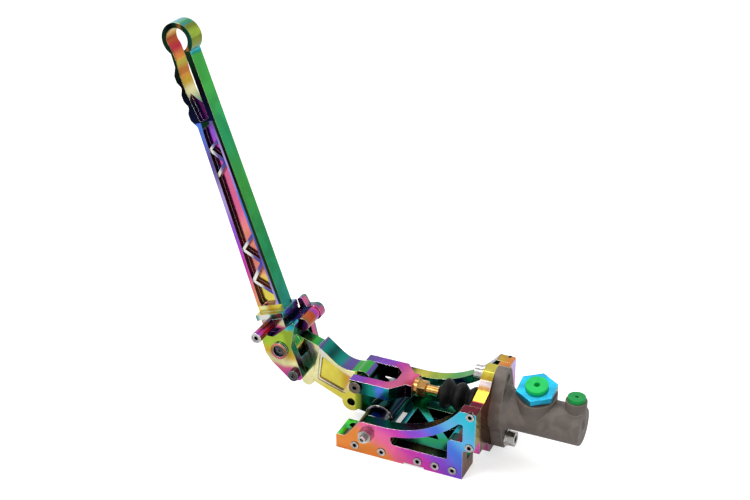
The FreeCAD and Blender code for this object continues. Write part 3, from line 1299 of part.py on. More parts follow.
def ear_outline(side):
    """Outline of one ear; the far ear has a horn and a lobe for the rear stop."""
    lock_x = size["lock_radius"] * sine(size["lock_angle"] - size["handle_lean"])
    lock_z = -(size["lock_radius"] * cosine(size["lock_angle"] - size["handle_lean"]))
    lobe = size["lock_head_radius"] + size["edge_round"]
    knuckle = size["knuckle_radius"]
    lower = [
        corner(-(knuckle + size["edge_round"]), knuckle * 1.4, size["edge_round"]),
        corner(-(knuckle * 1.24), -(knuckle * 0.08), size["window_round"]),
        corner(-knuckle, -(knuckle * 0.8), size["window_round"]),
        corner(lock_x - lobe * 0.9, lock_z - lobe, size["window_round"]),
        corner(lock_x + lobe, lock_z - lobe, size["window_round"]),
        corner(knuckle + size["edge_round"] / 2, -(knuckle * 0.7), size["window_round"]),
    ]
    stop_x = size["stop_forward"]
    stop_z = size["stop_rise"]
    stop = size["stop_radius"] + size["edge_round"] / 2
    front = size["handle_front"]
    if side == "near":
        upper = [
            corner(knuckle, size["edge_round"], size["edge_round"]),
            corner(stop_x + size["window_round"], size["handle_foot"] - size["side_clearance"] * 2,
                   size["edge_round"]),
            corner(-size["edge_round"], knuckle * 1.1, size["ramp_round"]),
        ]
    else:
        upper = [
            corner(stop_x - stop, stop_z - stop, size["edge_round"]),
            corner(stop_x + stop, stop_z - stop, stop * 0.9),
            corner(stop_x + stop, stop_z + stop, stop * 0.9),
            corner(front + lobe + size["edge_round"], stop_z + stop, size["edge_round"]),
            corner(front + lobe, size["handle_foot"] + size["foot_block_height"], size["edge_round"]),
            corner(front + size["foot_lip"] + size["side_clearance"],
                   size["handle_foot"] + size["foot_block_height"], size["edge_round"]),
            corner(front + size["foot_lip"] + size["side_clearance"],
                   size["handle_foot"] - size["edge_round"] * 2),
            corner(-size["edge_round"], knuckle + size["edge_round"] * 2, size["ramp_round"]),
        ]
    return lower + upper


def make_fork():
    """The elbow fork: a bridge under the foot, two ears and their lower cheeks."""
    body = new_body("elbow_fork")
    gap = size["ear_gap"] / 2
    thick = size["ear_thickness"]
    knuckle = size["knuckle_radius"]
    clear = knuckle + size["side_clearance"] * 2
    foot = size["handle_foot"]
    lock_x = size["lock_radius"] * sine(size["lock_angle"] - size["handle_lean"])
    lock_z = -(size["lock_radius"] * cosine(size["lock_angle"] - size["handle_lean"]))
    lobe = size["lock_head_radius"] + size["edge_round"]
    pad(body, "near_ear", "XZ_Plane", gap, thick, (ear_outline("near"),))
    bridge = [
        corner(-(knuckle + size["edge_round"]), foot), corner(-(knuckle + size["edge_round"]), clear),
        corner(size["handle_front"], clear), corner(size["handle_front"], foot)]
    pad(body, "bridge", "XZ_Plane", -gap, gap * 2, (bridge,))
    pad(body, "far_ear", "XZ_Plane", -(gap + thick), thick, (ear_outline("far"),))
    cheek = [
        corner(-(knuckle * 0.8), -(knuckle * 1.15), size["edge_round"]),
        corner(lock_x - lobe * 0.9, lock_z - lobe, size["window_round"]),
        corner(lock_x + lobe, lock_z - lobe, size["window_round"]),
        corner(knuckle * 0.94, -(knuckle * 1.15), size["edge_round"]),
    ]
    inner = size["tongue_thickness"] / 2 + size["side_clearance"]
    pad(body, "near_cheek", "XZ_Plane", inner, gap - inner, (cheek,))
    pad(body, "far_cheek", "XZ_Plane", -gap, gap - inner, (cheek,))
    pad(body, "elbow_ring", "XZ_Plane", gap + thick, size["elbow_ring_height"], (),
        ((0.0, 0.0, size["elbow_ring_radius"]),))
    outside = gap + thick
    cut(body, "elbow_hole", "XZ_Plane", outside + size["elbow_ring_height"],
        outside * 2 + size["elbow_ring_height"], (), ((0.0, 0.0, size["elbow_bolt_radius"]),))
    cut(body, "elbow_recess", "XZ_Plane", outside + size["elbow_ring_height"], size["elbow_recess_depth"],
        (), ((0.0, 0.0, size["elbow_recess_radius"] + size["side_clearance"]),))
    cut(body, "lock_hole", "XZ_Plane", outside, outside * 2, (),
        ((lock_x, lock_z, size["lock_bolt_radius"]),))
    barrel_x = -size["barrel_inset"]
    barrel_z = foot - size["barrel_drop"]
    cut(body, "barrel_hole", "XZ_Plane", gap, gap * 2, (),
        ((barrel_x, barrel_z, size["barrel_screw_radius"]),))
    cut(body, "stop_hole", "XZ_Plane", -gap, thick, (),
        ((size["stop_forward"], size["stop_rise"], size["stop_bolt_radius"]),))
    keep("elbow_fork", at_elbow(body))


def in_handle(forward, rise):
    """World X and Z of a place in the handle's leaning frame."""
    lean = size["handle_lean"]
    x = elbow_x + forward * cosine(lean) - rise * sine(lean)
    z = elbow_z + forward * sine(lean) + rise * cosine(lean)
    return x, z


def make_elbow_hardware():
    """Bolts, nuts and barrels of the elbow."""
    gap = size["ear_gap"] / 2
    outside = gap + size["ear_thickness"]
    recess = size["elbow_ring_height"] - size["elbow_recess_depth"]
    bolt = screw_body("elbow_pivot_bolt", size["elbow_bolt_radius"],
                      outside * 2 + recess + size["elbow_nut_height"] + size["edge_round"],
                      size["elbow_recess_radius"], size["elbow_recess_depth"] / 2, size["elbow_bolt_radius"])
    keep("elbow_pivot_bolt", place(bolt, elbow_x, -(outside + recess), elbow_z, angle=TOWARDS_NEAR))
    nut = nut_body("elbow_pivot_nut", size["elbow_nut_width"], size["elbow_nut_height"],
                   size["elbow_bolt_radius"])
    keep("elbow_pivot_nut", place(nut, elbow_x, outside, elbow_z, angle=TOWARDS_FAR))
    lock_x, lock_z = polar(size["lock_radius"], size["lock_angle"])
    lock = screw_body("lock_bolt", size["lock_bolt_radius"],
                      outside * 2 + size["elbow_nut_height"] + size["edge_round"],
                      size["lock_head_radius"], size["lock_head_height"], size["lock_bolt_radius"] * 1.5)
    keep("lock_bolt", place(lock, lock_x, -outside, lock_z, angle=TOWARDS_NEAR))
    lock_nut = nut_body("lock_nut", size["lock_head_radius"] * 1.8, size["elbow_nut_height"],
                        size["lock_bolt_radius"])
    keep("lock_nut", place(lock_nut, lock_x, outside, lock_z, angle=TOWARDS_FAR))
    barrel_x, barrel_z = in_handle(-size["barrel_inset"], size["handle_foot"] - size["barrel_drop"])
    length = size["barrel_reach"] - gap
    barrel = ring_body("front_barrel", size["barrel_radius"], size["barrel_screw_radius"], length)
    seat = size["barrel_screw_radius"] + size["side_clearance"]
    cut(barrel, "front_barrel_recess", "YZ_Plane", length, seat, (),
        ((0.0, 0.0, size["barrel_cap_radius"] + size["side_clearance"]),))
    keep("front_barrel", place(barrel, barrel_x, -gap, barrel_z, angle=TOWARDS_NEAR))
    screw_radius = size["barrel_screw_radius"]
    head_seat = size["barrel_reach"] - seat
    screw = screw_body("barrel_screw", screw_radius,
                       head_seat + gap + size["elbow_nut_height"] + size["edge_round"],
                       size["barrel_cap_radius"], screw_radius, screw_radius * 1.5)
    keep("barrel_screw", place(screw, barrel_x, -head_seat, barrel_z, angle=TOWARDS_NEAR))
    barrel_nut = nut_body("barrel_nut", size["barrel_radius"] * 1.8, size["elbow_nut_height"],
                          size["barrel_screw_radius"])
    keep("barrel_nut", place(barrel_nut, barrel_x, gap, barrel_z, angle=TOWARDS_FAR))
    stop_x, stop_z = in_handle(size["stop_forward"], size["stop_rise"])
    stop = new_body("rear_stop_barrel")
    pad(stop, "stop_blank", "YZ_Plane", 0.0, size["stop_length"], (), ((0.0, 0.0, size["stop_radius"]),))
    cut(stop, "stop_bore", "YZ_Plane", size["stop_length"], size["stop_bolt_reach"], (),
        ((0.0, 0.0, size["stop_bolt_radius"]),))
    keep("rear_stop_barrel", place(stop, stop_x, gap - size["stop_length"], stop_z, angle=TOWARDS_FAR))
    bolt_radius = size["stop_bolt_radius"]
    stop_bolt = screw_body("rear_stop_bolt", bolt_radius, size["stop_bolt_reach"] + size["ear_thickness"],
                           size["stop_head_radius"], bolt_radius, bolt_radius * 1.3)
    keep("rear_stop_bolt", place(stop_bolt, stop_x, outside, stop_z, angle=TOWARDS_FAR))


make_side_plate("side_plate_near", 1)
make_side_plate("side_plate_far", -1)
make_plate_screws("plate_screws_near", 1)
make_plate_screws("plate_screws_far", -1)
make_base_plate()
make_mount_plate()
make_pivot()
make_casting()
make_ports()
make_flange_bolts()
make_spring(make_piston())
make_yoke()
make_clevis_pin()
make_pushrod()
make_boot()
make_lever()
make_handle()
make_fork()
make_elbow_hardware()

document.recompute()

for item in document.Objects:
    if "Invalid" in item.State or "Error" in item.State:
        raise RuntimeError(f"{item.Name} failed: {item.State}")
for name, piece in parts.items():
    if piece.Shape.isNull() or not piece.Shape.isValid():
        raise RuntimeError(f"{name} has no valid shape")

os.makedirs("parts", exist_ok=True)
for name, piece in parts.items():
    piece.Shape.exportStep(f"parts/{name}.step")
    print(name, len(piece.Shape.Solids), round(piece.Shape.Volume, 1))
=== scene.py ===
import math

import bpy
import numpy as np
from mathutils import Matrix, Vector


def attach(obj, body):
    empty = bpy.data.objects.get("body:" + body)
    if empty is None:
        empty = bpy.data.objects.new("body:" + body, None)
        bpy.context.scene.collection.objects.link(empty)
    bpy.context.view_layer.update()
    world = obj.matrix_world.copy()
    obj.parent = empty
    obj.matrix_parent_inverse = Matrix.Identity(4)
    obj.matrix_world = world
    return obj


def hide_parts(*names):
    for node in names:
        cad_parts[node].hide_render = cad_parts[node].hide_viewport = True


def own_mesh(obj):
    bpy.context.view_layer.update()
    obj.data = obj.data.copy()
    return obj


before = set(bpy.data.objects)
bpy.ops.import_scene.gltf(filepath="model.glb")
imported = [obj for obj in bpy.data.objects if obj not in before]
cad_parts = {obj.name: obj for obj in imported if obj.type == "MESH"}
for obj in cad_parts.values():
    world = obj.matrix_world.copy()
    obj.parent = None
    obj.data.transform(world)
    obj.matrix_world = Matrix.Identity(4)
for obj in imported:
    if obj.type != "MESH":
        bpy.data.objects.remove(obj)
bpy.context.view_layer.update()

bl_info = {
    "name": "Hydraulic handbrake dressing",
    "version": (1, 0, 0),
    "blender": (4, 5, 0),
    "location": "3D View > Sidebar > Handbrake",
    "description": "Finishes, boot, studio and camera for a hydraulic handbrake",
    "category": "Object",
}

# Directions in the shared frame: X towards the cylinder, Y away from the near side plate, Z up.
AHEAD, BEHIND = (1.0, 0.0, 0.0), (-1.0, 0.0, 0.0)
FAR, NEAR = (0.0, 1.0, 0.0), (0.0, -1.0, 0.0)
UP, DOWN = (0.0, 0.0, 1.0), (0.0, 0.0, -1.0)

# The handle leans back from the elbow pivot: FRONT is square to its front face and ALONG runs to its ring.
LEAN = math.radians(19.07)
ELBOW = (-0.1223, 0.0, 0.0646)
FRONT = (math.cos(LEAN), 0.0, math.sin(LEAN))
ALONG = (-math.sin(LEAN), 0.0, math.cos(LEAN))
RISE_ZERO = ELBOW[0] * ALONG[0] + ELBOW[2] * ALONG[2]
FRONT_ZERO = ELBOW[0] * FRONT[0] + ELBOW[2] * FRONT[2]

# The back of the handle's side pocket comes forward by this share of the height: TAPER is square to it.
POCKET_TAPER = 0.0387
TAPER = tuple(front - POCKET_TAPER * along for front, along in zip(FRONT, ALONG))

# How squarely a face has to look along a patch's direction: where its cover starts, and where it is full.
STRICT = (0.75, 0.95)
SQUARE = (0.7, 0.9)
MOSTLY = (0.6, 0.85)
USUAL = (0.55, 0.85)
WIDE = (0.1, 0.3)

# How far a bevelled normal turns on an edge that gets a painted pale highlight, and the band of broad noise
# that darkens a surface.
HIGHLIGHT_TURN = (0.015, 0.16)
# On the film that darkening is painted dark reflection streaks; on other finishes it is random mottling.
SHADE_BAND = (0.30, 0.62)

# Colours of the metals, as the light they reflect.
BRONZE_PLATING = (0.16, 0.12, 0.1)
DARK_PLATING = (0.11, 0.11, 0.12)
BARE_ALUMINIUM = (0.6, 0.6, 0.6)
SPRING_STEEL = (0.35, 0.34, 0.33)
BUSH_BRONZE = (0.42, 0.26, 0.11)

# The camera that was fitted to the photograph. Its lens is measured in pixels of the picture's width.
LENS_PIXELS = 1411.1
PICTURE_WIDTH = 750
SENSOR_WIDTH = 36.0
CAMERA_PLACE = (0.3832, -0.9296, 0.7003)
CAMERA_AIM = (-0.369, 0.807, -0.462)
CAMERA_ROLL = math.radians(-0.3)

# Each lamp's name, place, target, width, height, power and colour.
LAMPS = (
    ("key_lamp", (-0.75, -0.85, 1.15), (-0.05, 0.0, 0.12), 0.7, 0.7, 11.0, (1.0, 0.99, 0.97)),
    ("fill_lamp", (1.05, -0.75, 0.75), (0.0, 0.0, 0.08), 0.6, 0.8, 6.0, (0.97, 0.99, 1.0)),
    ("top_lamp", (0.0, 0.35, 1.3), (-0.03, 0.0, 0.1), 1.0, 0.5, 7.0, (1.0, 1.0, 1.0)),
)

# The floor and the white surroundings: the floor's reach from the middle, the greys of its specks, and
# the light that each kind of ray finds.
FLOOR_REACH = 3.0
FLOOR_DARK = (0.70, 0.70, 0.70, 1.0)
FLOOR_LIGHT = (0.74, 0.74, 0.74, 1.0)
FLOOR_SEEN = 0.5
FLOOR_MIRRORED = 0.14
SURROUND_LIGHT = 0.62
SURROUND_SEEN = 1.0
WHITE = (1.0, 1.0, 1.0, 1.0)

# The boot's bellows. FOLDS and FOLD_START are counted in folds, FOLD_DEPTH is how deep a valley is, and
# CREST_FALL is the share by which the crests get smaller towards the plate. The mouth and the seat on the
# plate each take a share of the length.
FOLDS = 3.15
FOLD_START = -0.50
FOLD_DEPTH = 0.0042
FOLD_SHARPNESS = 0.6
CREST_FALL = 0.20
MOUTH_RADIUS = 0.0060
MOUTH_SHARE = 0.13
SEAT_RADIUS = 0.0113
SEAT_SHARE = 0.07
ROD_HOLE = 0.0046
BOOT_STEPS = 160


def rgb(red, green, blue):
    """A colour written as it looks on a screen, 0 to 255, turned into the light it stands for."""
    shares = [channel / 255 for channel in (red, green, blue)]
    return tuple(s / 12.92 if s <= 0.04045 else ((s + 0.055) / 1.055) ** 2.4 for s in shares)


def tint(name, description, red, green, blue):
    """A colour property with its default."""
    return bpy.props.FloatVectorProperty(
        name=name, description=description, subtype="COLOR", size=3, min=0.0, max=1.0,
        default=rgb(red, green, blue))


class FilmTints(bpy.types.PropertyGroup):
    """Colours that the rainbow film passes through."""

    silver: tint("Silver", "Pale edge of the film", 226, 226, 222)
    cream: tint("Cream", "Palest yellow of the film", 232, 226, 168)
    lemon: tint("Lemon", "Bright yellow of the film", 220, 206, 84)
    gold: tint("Gold", "Deep yellow of the film", 196, 160, 50)
    bronze: tint("Bronze", "Brown gold of the film", 140, 96, 52)
    orange: tint("Orange", "Orange of the film", 222, 136, 66)
    rust: tint("Rust", "Dark orange of the film", 188, 84, 44)
    red: tint("Red", "Red of the film", 190, 44, 66)
    maroon: tint("Maroon", "Dark red of the film", 104, 26, 44)
    salmon: tint("Salmon", "Orange pink of the film", 222, 134, 118)
    rose: tint("Rose", "Pink of the film", 222, 104, 150)
    magenta: tint("Magenta", "Magenta of the film", 196, 66, 170)
    plum: tint("Plum", "Dark magenta of the film", 84, 22, 84)
    violet: tint("Violet", "Violet of the film", 140, 78, 204)
    lilac: tint("Lilac", "Pale violet of the film", 176, 156, 222)
    slate: tint("Slate", "Grey violet of the film", 96, 82, 152)
    cobalt: tint("Cobalt", "Deep blue of the film", 44, 62, 168)
    blue: tint("Blue", "Mid blue of the film", 78, 118, 216)
    sky: tint("Sky", "Light blue of the film", 96, 176, 222)
    cyan: tint("Cyan", "Cyan of the film", 40, 184, 204)
    teal: tint("Teal", "Blue green of the film", 22, 136, 124)
    pine: tint("Pine", "Dark blue green of the film", 12, 76, 72)
    emerald: tint("Emerald", "Clear green of the film", 34, 158, 96)
    leaf: tint("Leaf", "Mid green of the film", 62, 168, 70)
    lime: tint("Lime", "Yellow green of the film", 158, 186, 62)
    olive: tint("Olive", "Dark yellow green of the film", 122, 136, 44)
    moss: tint("Moss", "Darkest green of the film", 18, 50, 28)
    navy: tint("Navy", "Darkest blue of the film", 12, 18, 54)
    ink: tint("Ink", "Near black of the film", 8, 10, 16)


class HandbrakeSizes(bpy.types.PropertyGroup):
    """Sizes and colours that a user would change."""

    # The edge radius rounds the edges' normals and sets the width of their painted pale highlight.
    edge_radius: bpy.props.FloatProperty(
        name="Edge radius", description="Radius of the bright broken edges", default=0.0006, unit="LENGTH")
    film_roughness: bpy.props.FloatProperty(
        name="Film roughness", description="Roughness of the rainbow film", default=0.17, subtype="FACTOR")
    casting: tint("Casting", "Grey of the cylinder's casting", 106, 97, 92)
    rubber: tint("Rubber", "Black of the boot and seals", 15, 14, 15)
    hexagon: tint("Hexagon", "Cyan of the inlet's hexagon", 26, 160, 196)
    inlet_plug: tint("Inlet plug", "Green of the inlet's plug", 12, 190, 90)
    outlet_plug: tint("Outlet plug", "Green of the outlet's plug", 16, 150, 70)
    steel: tint("Steel", "Bright plating of the screws", 214, 212, 208)
    yellow_steel: tint("Yellow steel", "Gold plating of the pushrod and its nut", 206, 156, 88)
    boot_start: bpy.props.FloatProperty(
        name="Boot start", description="Where the boot's mouth stands along X", default=0.0175,
        unit="LENGTH")
    boot_end: bpy.props.FloatProperty(
        name="Boot end", description="Where the boot meets the mounting plate", default=0.0575,
        unit="LENGTH")
    boot_crest: bpy.props.FloatProperty(
        name="Boot crest", description="Radius of the boot's largest fold", default=0.0138, unit="LENGTH")
    boot_wall: bpy.props.FloatProperty(
        name="Boot wall", description="Wall of the boot", default=0.0012, unit="LENGTH")
    axis_height: bpy.props.FloatProperty(
        name="Axis height", description="Height of the cylinder's axis", default=0.046, unit="LENGTH")
    lamp_level: bpy.props.FloatProperty(
        name="Lamp level", description="Share by which every lamp is turned up or down", default=1.0)


def tints():
    """The film's colours."""
    return bpy.context.scene.film_tints


def sizes():
    """The part's own sizes."""
    return bpy.context.scene.handbrake_sizes


class Wiring:
    """Adds nodes to one tree and joins them."""

    def __init__(self, tree):
        self.tree = tree

    def feed(self, socket, source):
        """Join a socket to another, or give it a plain value."""
        if isinstance(source, bpy.types.NodeSocket):
            self.tree.links.new(source, socket)
        else:
            socket.default_value = source

    def add(self, kind, feeds=None, **settings):
        """One node with its settings and what feeds it."""
        made = self.tree.nodes.new(kind)
        for name, value in settings.items():
            setattr(made, name, value)
        for socket, source in (feeds or {}).items():
            self.feed(made.inputs[socket], source)
        return made

    def math(self, operation, first, second=0.0):
        """A sum on one or two values."""
        return self.add("ShaderNodeMath", {0: first, 1: second}, operation=operation,
                        use_clamp=False).outputs[0]

    def dot(self, first, second):
        """The dot product of two vectors."""
        return self.add("ShaderNodeVectorMath", {0: first, 1: second},
                        operation="DOT_PRODUCT").outputs["Value"]

    def smooth(self, value, low, high):
        """0 below low and 1 above high, with a soft step between."""
        return self.add("ShaderNodeMapRange", {"Value": value, "From Min": low, "From Max": high},
                        interpolation_type="SMOOTHSTEP").outputs["Result"]

    def mix(self, share, first, second, blend="MIX"):
        """Two colours mixed by a share."""
        made = self.add("ShaderNodeMix", data_type="RGBA", blend_type=blend)
        for place, source in ((0, share), (6, first), (7, second)):
            self.feed(made.inputs[place], source)
        return made.outputs[2]

    def noise(self, place, scale, detail=2.0, distortion=0.0):
        """Fractal noise at a place."""
        return self.add("ShaderNodeTexNoise", {"Vector": place, "Scale": scale, "Detail": detail,
                                               "Distortion": distortion})

    def use(self, group, feeds):
        """One use of a shader node group."""
        made = self.add("ShaderNodeGroup", node_tree=group)
        for socket, source in feeds.items():
            self.feed(made.inputs[socket], source)
        return made


def shader_group(name, inputs, outputs, build):
    """A shader node group, made at its first use."""
    tree = bpy.data.node_groups.get(name)
    if tree is not None:
        return tree
    tree = bpy.data.node_groups.new(name, "ShaderNodeTree")
    for title, kind in inputs:
        tree.interface.new_socket(name=title, in_out="INPUT", socket_type=f"NodeSocket{kind}")
    for title, kind in outputs:
        tree.interface.new_socket(name=title, in_out="OUTPUT", socket_type=f"NodeSocket{kind}")
    wiring = Wiring(tree)
    source = wiring.add("NodeGroupInput")
    sink = wiring.add("NodeGroupOutput")
    build(wiring, source.outputs, sink.inputs)
    return tree


def run_group():
    """How far a point is along a direction, 0 at Start and 1 at End, with noise that makes it wander."""
    def build(wiring, source, sink):
        place = wiring.add("ShaderNodeTexCoord").outputs["Object"]
        drift = wiring.noise(place, source["Grain"], 1.5, 0.6).outputs["Color"]
        centred = wiring.add("ShaderNodeVectorMath", {0: drift, 1: (0.5, 0.5, 0.5)},
                             operation="SUBTRACT").outputs[0]
        moved = wiring.add("ShaderNodeVectorMath", {0: centred, "Scale": source["Wander"]},
                           operation="SCALE").outputs[0]
        shifted = wiring.add("ShaderNodeVectorMath", {0: place, 1: moved}, operation="ADD").outputs[0]
        reach = wiring.dot(shifted, source["Direction"])
        made = wiring.add("ShaderNodeMapRange",
                          {"Value": reach, "From Min": source["Start"], "From Max": source["End"]})
        wiring.feed(sink["Run"], made.outputs["Result"])
    return shader_group("Film run", (("Direction", "Vector"), ("Start", "Float"), ("End", "Float"),
                                     ("Wander", "Float"), ("Grain", "Float")), (("Run", "Float"),), build)


def patch_group():
    """Lays one colour over another where the surface faces a direction and lies inside a slab."""
    def build(wiring, source, sink):
        where = wiring.add("ShaderNodeTexCoord")
        facing = wiring.dot(where.outputs["Normal"], source["Facing"])
        turned = wiring.smooth(facing, source["Facing From"], source["Facing To"])
        depth = wiring.dot(where.outputs["Object"], source["Slab"])
        soft = source["Soft"]
        entered = wiring.smooth(depth, wiring.math("SUBTRACT", source["Slab From"], soft),
                                wiring.math("ADD", source["Slab From"], soft))
        left = wiring.smooth(depth, wiring.math("SUBTRACT", source["Slab To"], soft),
                             wiring.math("ADD", source["Slab To"], soft))
        inside = wiring.math("SUBTRACT", entered, left)
        share = wiring.math("MULTIPLY", turned, inside)
        wiring.feed(sink["Color"], wiring.mix(share, source["Under"], source["Over"]))
    return shader_group("Film patch", (("Under", "Color"), ("Over", "Color"), ("Facing", "Vector"),
                                       ("Facing From", "Float"), ("Facing To", "Float"), ("Slab", "Vector"),
                                       ("Slab From", "Float"), ("Slab To", "Float"), ("Soft", "Float")),
                        (("Color", "Color"),), build)


def edge_highlight_group():
    """A rounded normal on edges and the mask for their painted pale highlight: 1 less the dot product of
    plain and bevelled normal.
    """
    def build(wiring, source, sink):
        rounded = wiring.add("ShaderNodeBevel", {"Radius": source["Radius"]}, samples=4)
        plain = wiring.add("ShaderNodeNewGeometry").outputs["Normal"]
        turn = wiring.math("SUBTRACT", 1.0, wiring.dot(rounded.outputs[0], plain))
        wiring.feed(sink["Edge"], wiring.smooth(turn, *HIGHLIGHT_TURN))
        wiring.feed(sink["Normal"], rounded.outputs[0])
    return shader_group("Painted edge highlight", (("Radius", "Float"),), (("Edge", "Float"), ("Normal", "Vector")),
                        build)


def surface_group():
    """Slow darkening, roughness and a fine height over a surface, from three sizes of noise. On the film the
    darkening is painted dark reflection streaks; on other finishes it is random mottling.
    """
    def build(wiring, source, sink):
        place = wiring.add("ShaderNodeTexCoord").outputs["Object"]
        broad = wiring.noise(place, source["Broad"], 2.0, 1.2).outputs["Fac"]
        middle = wiring.noise(place, wiring.math("MULTIPLY", source["Broad"], 5.0), 3.0).outputs["Fac"]
        fine = wiring.noise(place, source["Fine"], 3.0).outputs["Fac"]
        wiring.feed(sink["Darkening"], wiring.smooth(broad, *SHADE_BAND))
        spread = wiring.math("MULTIPLY", wiring.math("SUBTRACT", middle, 0.5), source["Spread"])
        wiring.feed(sink["Roughness"], wiring.math("ADD", source["Base"], spread))
        wiring.feed(sink["Height"], fine)
    return shader_group("Surface drift", (("Broad", "Float"), ("Fine", "Float"), ("Base", "Float"),
                                          ("Spread", "Float")),
                        (("Darkening", "Float"), ("Roughness", "Float"), ("Height", "Float")), build)


def empty_material(name):
    """A material with its Principled shader and nothing else."""
    material = bpy.data.materials.new(name)
    material.use_nodes = True
    wiring = Wiring(material.node_tree)
    shader = material.node_tree.nodes["Principled BSDF"]
    return material, wiring, shader


def named(colour):
    """A film tint by name, with full alpha."""
    return (*getattr(tints(), colour), 1.0)


def ramp_node(wiring, run, stops):
    """A colour ramp over a run, from pairs of a share and a tint's name."""
    made = wiring.add("ShaderNodeValToRGB", {"Fac": run})
    made.color_ramp.interpolation = "EASE"
    points = made.color_ramp.elements
    while len(points) < len(stops):
        points.new(0.5)
    for point, (share, colour) in zip(points, stops):
        point.position = share
        point.color = named(colour)
    return made.outputs["Color"]


def patch(facing, run, span, stops, slab=UP, between=(-1.0, 1.0), spread=USUAL, soft=0.0003,
          wander=0.006, grain=45.0):
    """One patch of film: where it lies, and the tints that it passes through along its run."""
    return dict(facing=facing, run=run, span=span, stops=stops, slab=slab, between=between, spread=spread,
                soft=soft, wander=wander, grain=grain)


def film_colour(wiring, ground, patches):
    """The film's colour: a ground run with each patch laid over it in turn."""
    def tinted(part):
        run = wiring.use(run_group(), {"Direction": part["run"], "Start": part["span"][0],
                                       "End": part["span"][1], "Wander": part["wander"],
                                       "Grain": part["grain"]}).outputs["Run"]
        return ramp_node(wiring, run, part["stops"])
    colour = tinted(ground)
    for part in patches:
        colour = wiring.use(patch_group(), {
            "Under": colour, "Over": tinted(part), "Facing": part["facing"], "Soft": part["soft"],
            "Facing From": part["spread"][0], "Facing To": part["spread"][1], "Slab": part["slab"],
            "Slab From": part["between"][0], "Slab To": part["between"][1]}).outputs["Color"]
    return colour


def film_material(name, ground, patches=(), shade=0.25, edge=0.55, edge_tint="silver", roughness=None):
    """Polished metal under a rainbow film: colour by facing and place, painted dark reflection streaks,
    painted pale edge highlights.
    """
    material, wiring, shader = empty_material(name)
    colour = film_colour(wiring, ground, patches)
    surface = wiring.use(surface_group(), {"Broad": 38.0, "Fine": 900.0,
                                           "Base": roughness or sizes().film_roughness, "Spread": 0.08})
    # Painted dark reflection streaks: broad noise darkens the film's colour by up to the shade share.
    dim = wiring.math("SUBTRACT", 1.0, wiring.math("MULTIPLY", surface.outputs["Darkening"], shade))
    colour = wiring.mix(1.0, colour, wiring.add("ShaderNodeCombineColor",
                                                {0: dim, 1: dim, 2: dim}).outputs[0], "MULTIPLY")
    highlit = wiring.use(edge_highlight_group(), {"Radius": sizes().edge_radius})
    # Painted pale highlight: the edge tint is mixed into the colour along the edges.
    share = wiring.math("MULTIPLY", highlit.outputs["Edge"], edge)
    colour = wiring.mix(share, colour, named(edge_tint))
    bump = wiring.add("ShaderNodeBump", {"Height": surface.outputs["Height"],
                                         "Normal": highlit.outputs["Normal"], "Strength": 0.02,
                                         "Distance": 0.0002})
    wiring.feed(shader.inputs["Base Color"], colour)
    wiring.feed(shader.inputs["Roughness"], surface.outputs["Roughness"])
    wiring.feed(shader.inputs["Normal"], bump.outputs["Normal"])
    shader.inputs["Metallic"].default_value = 1.0
    return material


def mottled_material(name, colour, metallic, base, spread, grain, bump, darker=0.35, edge=0.3,
                  edge_tint="silver", radius=0.0005, broad=60.0, specular=0.5, shaded_hollows=()):
    """A material of one finish, with random mottling, fine grain, painted pale highlights on its edges and
    painted shade in hollows.

    A shaded hollow is a direction with the slab of places along it that is painted dark as shade.
    """
    material, wiring, shader = empty_material(name)
    surface = wiring.use(surface_group(), {"Broad": broad, "Fine": grain, "Base": base, "Spread": spread})
    lit = (*colour, 1.0)
    dim = (*(channel * (1 - darker) for channel in colour), 1.0)
    mottled = wiring.mix(surface.outputs["Darkening"], lit, dim)
    grained = wiring.mix(wiring.math("MULTIPLY", surface.outputs["Height"], darker * 0.6), mottled, dim)
    highlit = wiring.use(edge_highlight_group(), {"Radius": radius})
    # Painted pale highlight: the edge tint is mixed into the colour along the edges.
    share = wiring.math("MULTIPLY", highlit.outputs["Edge"], edge)
    colour = wiring.mix(share, grained, named(edge_tint))
    # Painted shade: each shaded hollow is painted ink.
    for slab, (low, high) in shaded_hollows:
        colour = wiring.use(patch_group(), {
            "Under": colour, "Over": named("ink"), "Facing": slab, "Facing From": -3.0, "Facing To": -2.0,
            "Slab": slab, "Slab From": low, "Slab To": high, "Soft": 0.00005}).outputs["Color"]
    wiring.feed(shader.inputs["Base Color"], colour)
    wiring.feed(shader.inputs["Roughness"], surface.outputs["Roughness"])
    raised = wiring.add("ShaderNodeBump", {"Height": surface.outputs["Height"],
                                           "Normal": highlit.outputs["Normal"], "Strength": bump,
                                           "Distance": 0.0003})
    wiring.feed(shader.inputs["Normal"], raised.outputs["Normal"])
    shader.inputs["Metallic"].default_value = metallic
    shader.inputs["Specular IOR Level"].default_value = specular
    return material


def dress(material, *nodes):
    """Give CAD nodes a material."""
    for name in nodes:
        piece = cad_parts[name]
        piece.data.materials.clear()
        piece.data.materials.append(material)


def rise(*heights):
    """Places along the handle, in millimetres above the elbow pivot."""
    return tuple(RISE_ZERO + height / 1000 for height in heights)


def forward(*reaches):
    """Places across the handle, in millimetres ahead of the elbow pivot."""
    return tuple(FRONT_ZERO + reach / 1000 for reach in reaches)


def beside(*reaches):
    """Places across the handle beside its tapered pocket, in millimetres ahead of the elbow pivot."""
    return tuple(FRONT_ZERO - POCKET_TAPER * RISE_ZERO + reach / 1000 for reach in reaches)


def mm(*places):
    """Places in millimetres, in metres."""
    return tuple(place / 1000 for place in places)


def ground(run, span, stops, wander=0.008, grain=40.0):
    """The film that lies under all patches."""
    return patch(UP, run, span, stops, wander=wander, grain=grain)


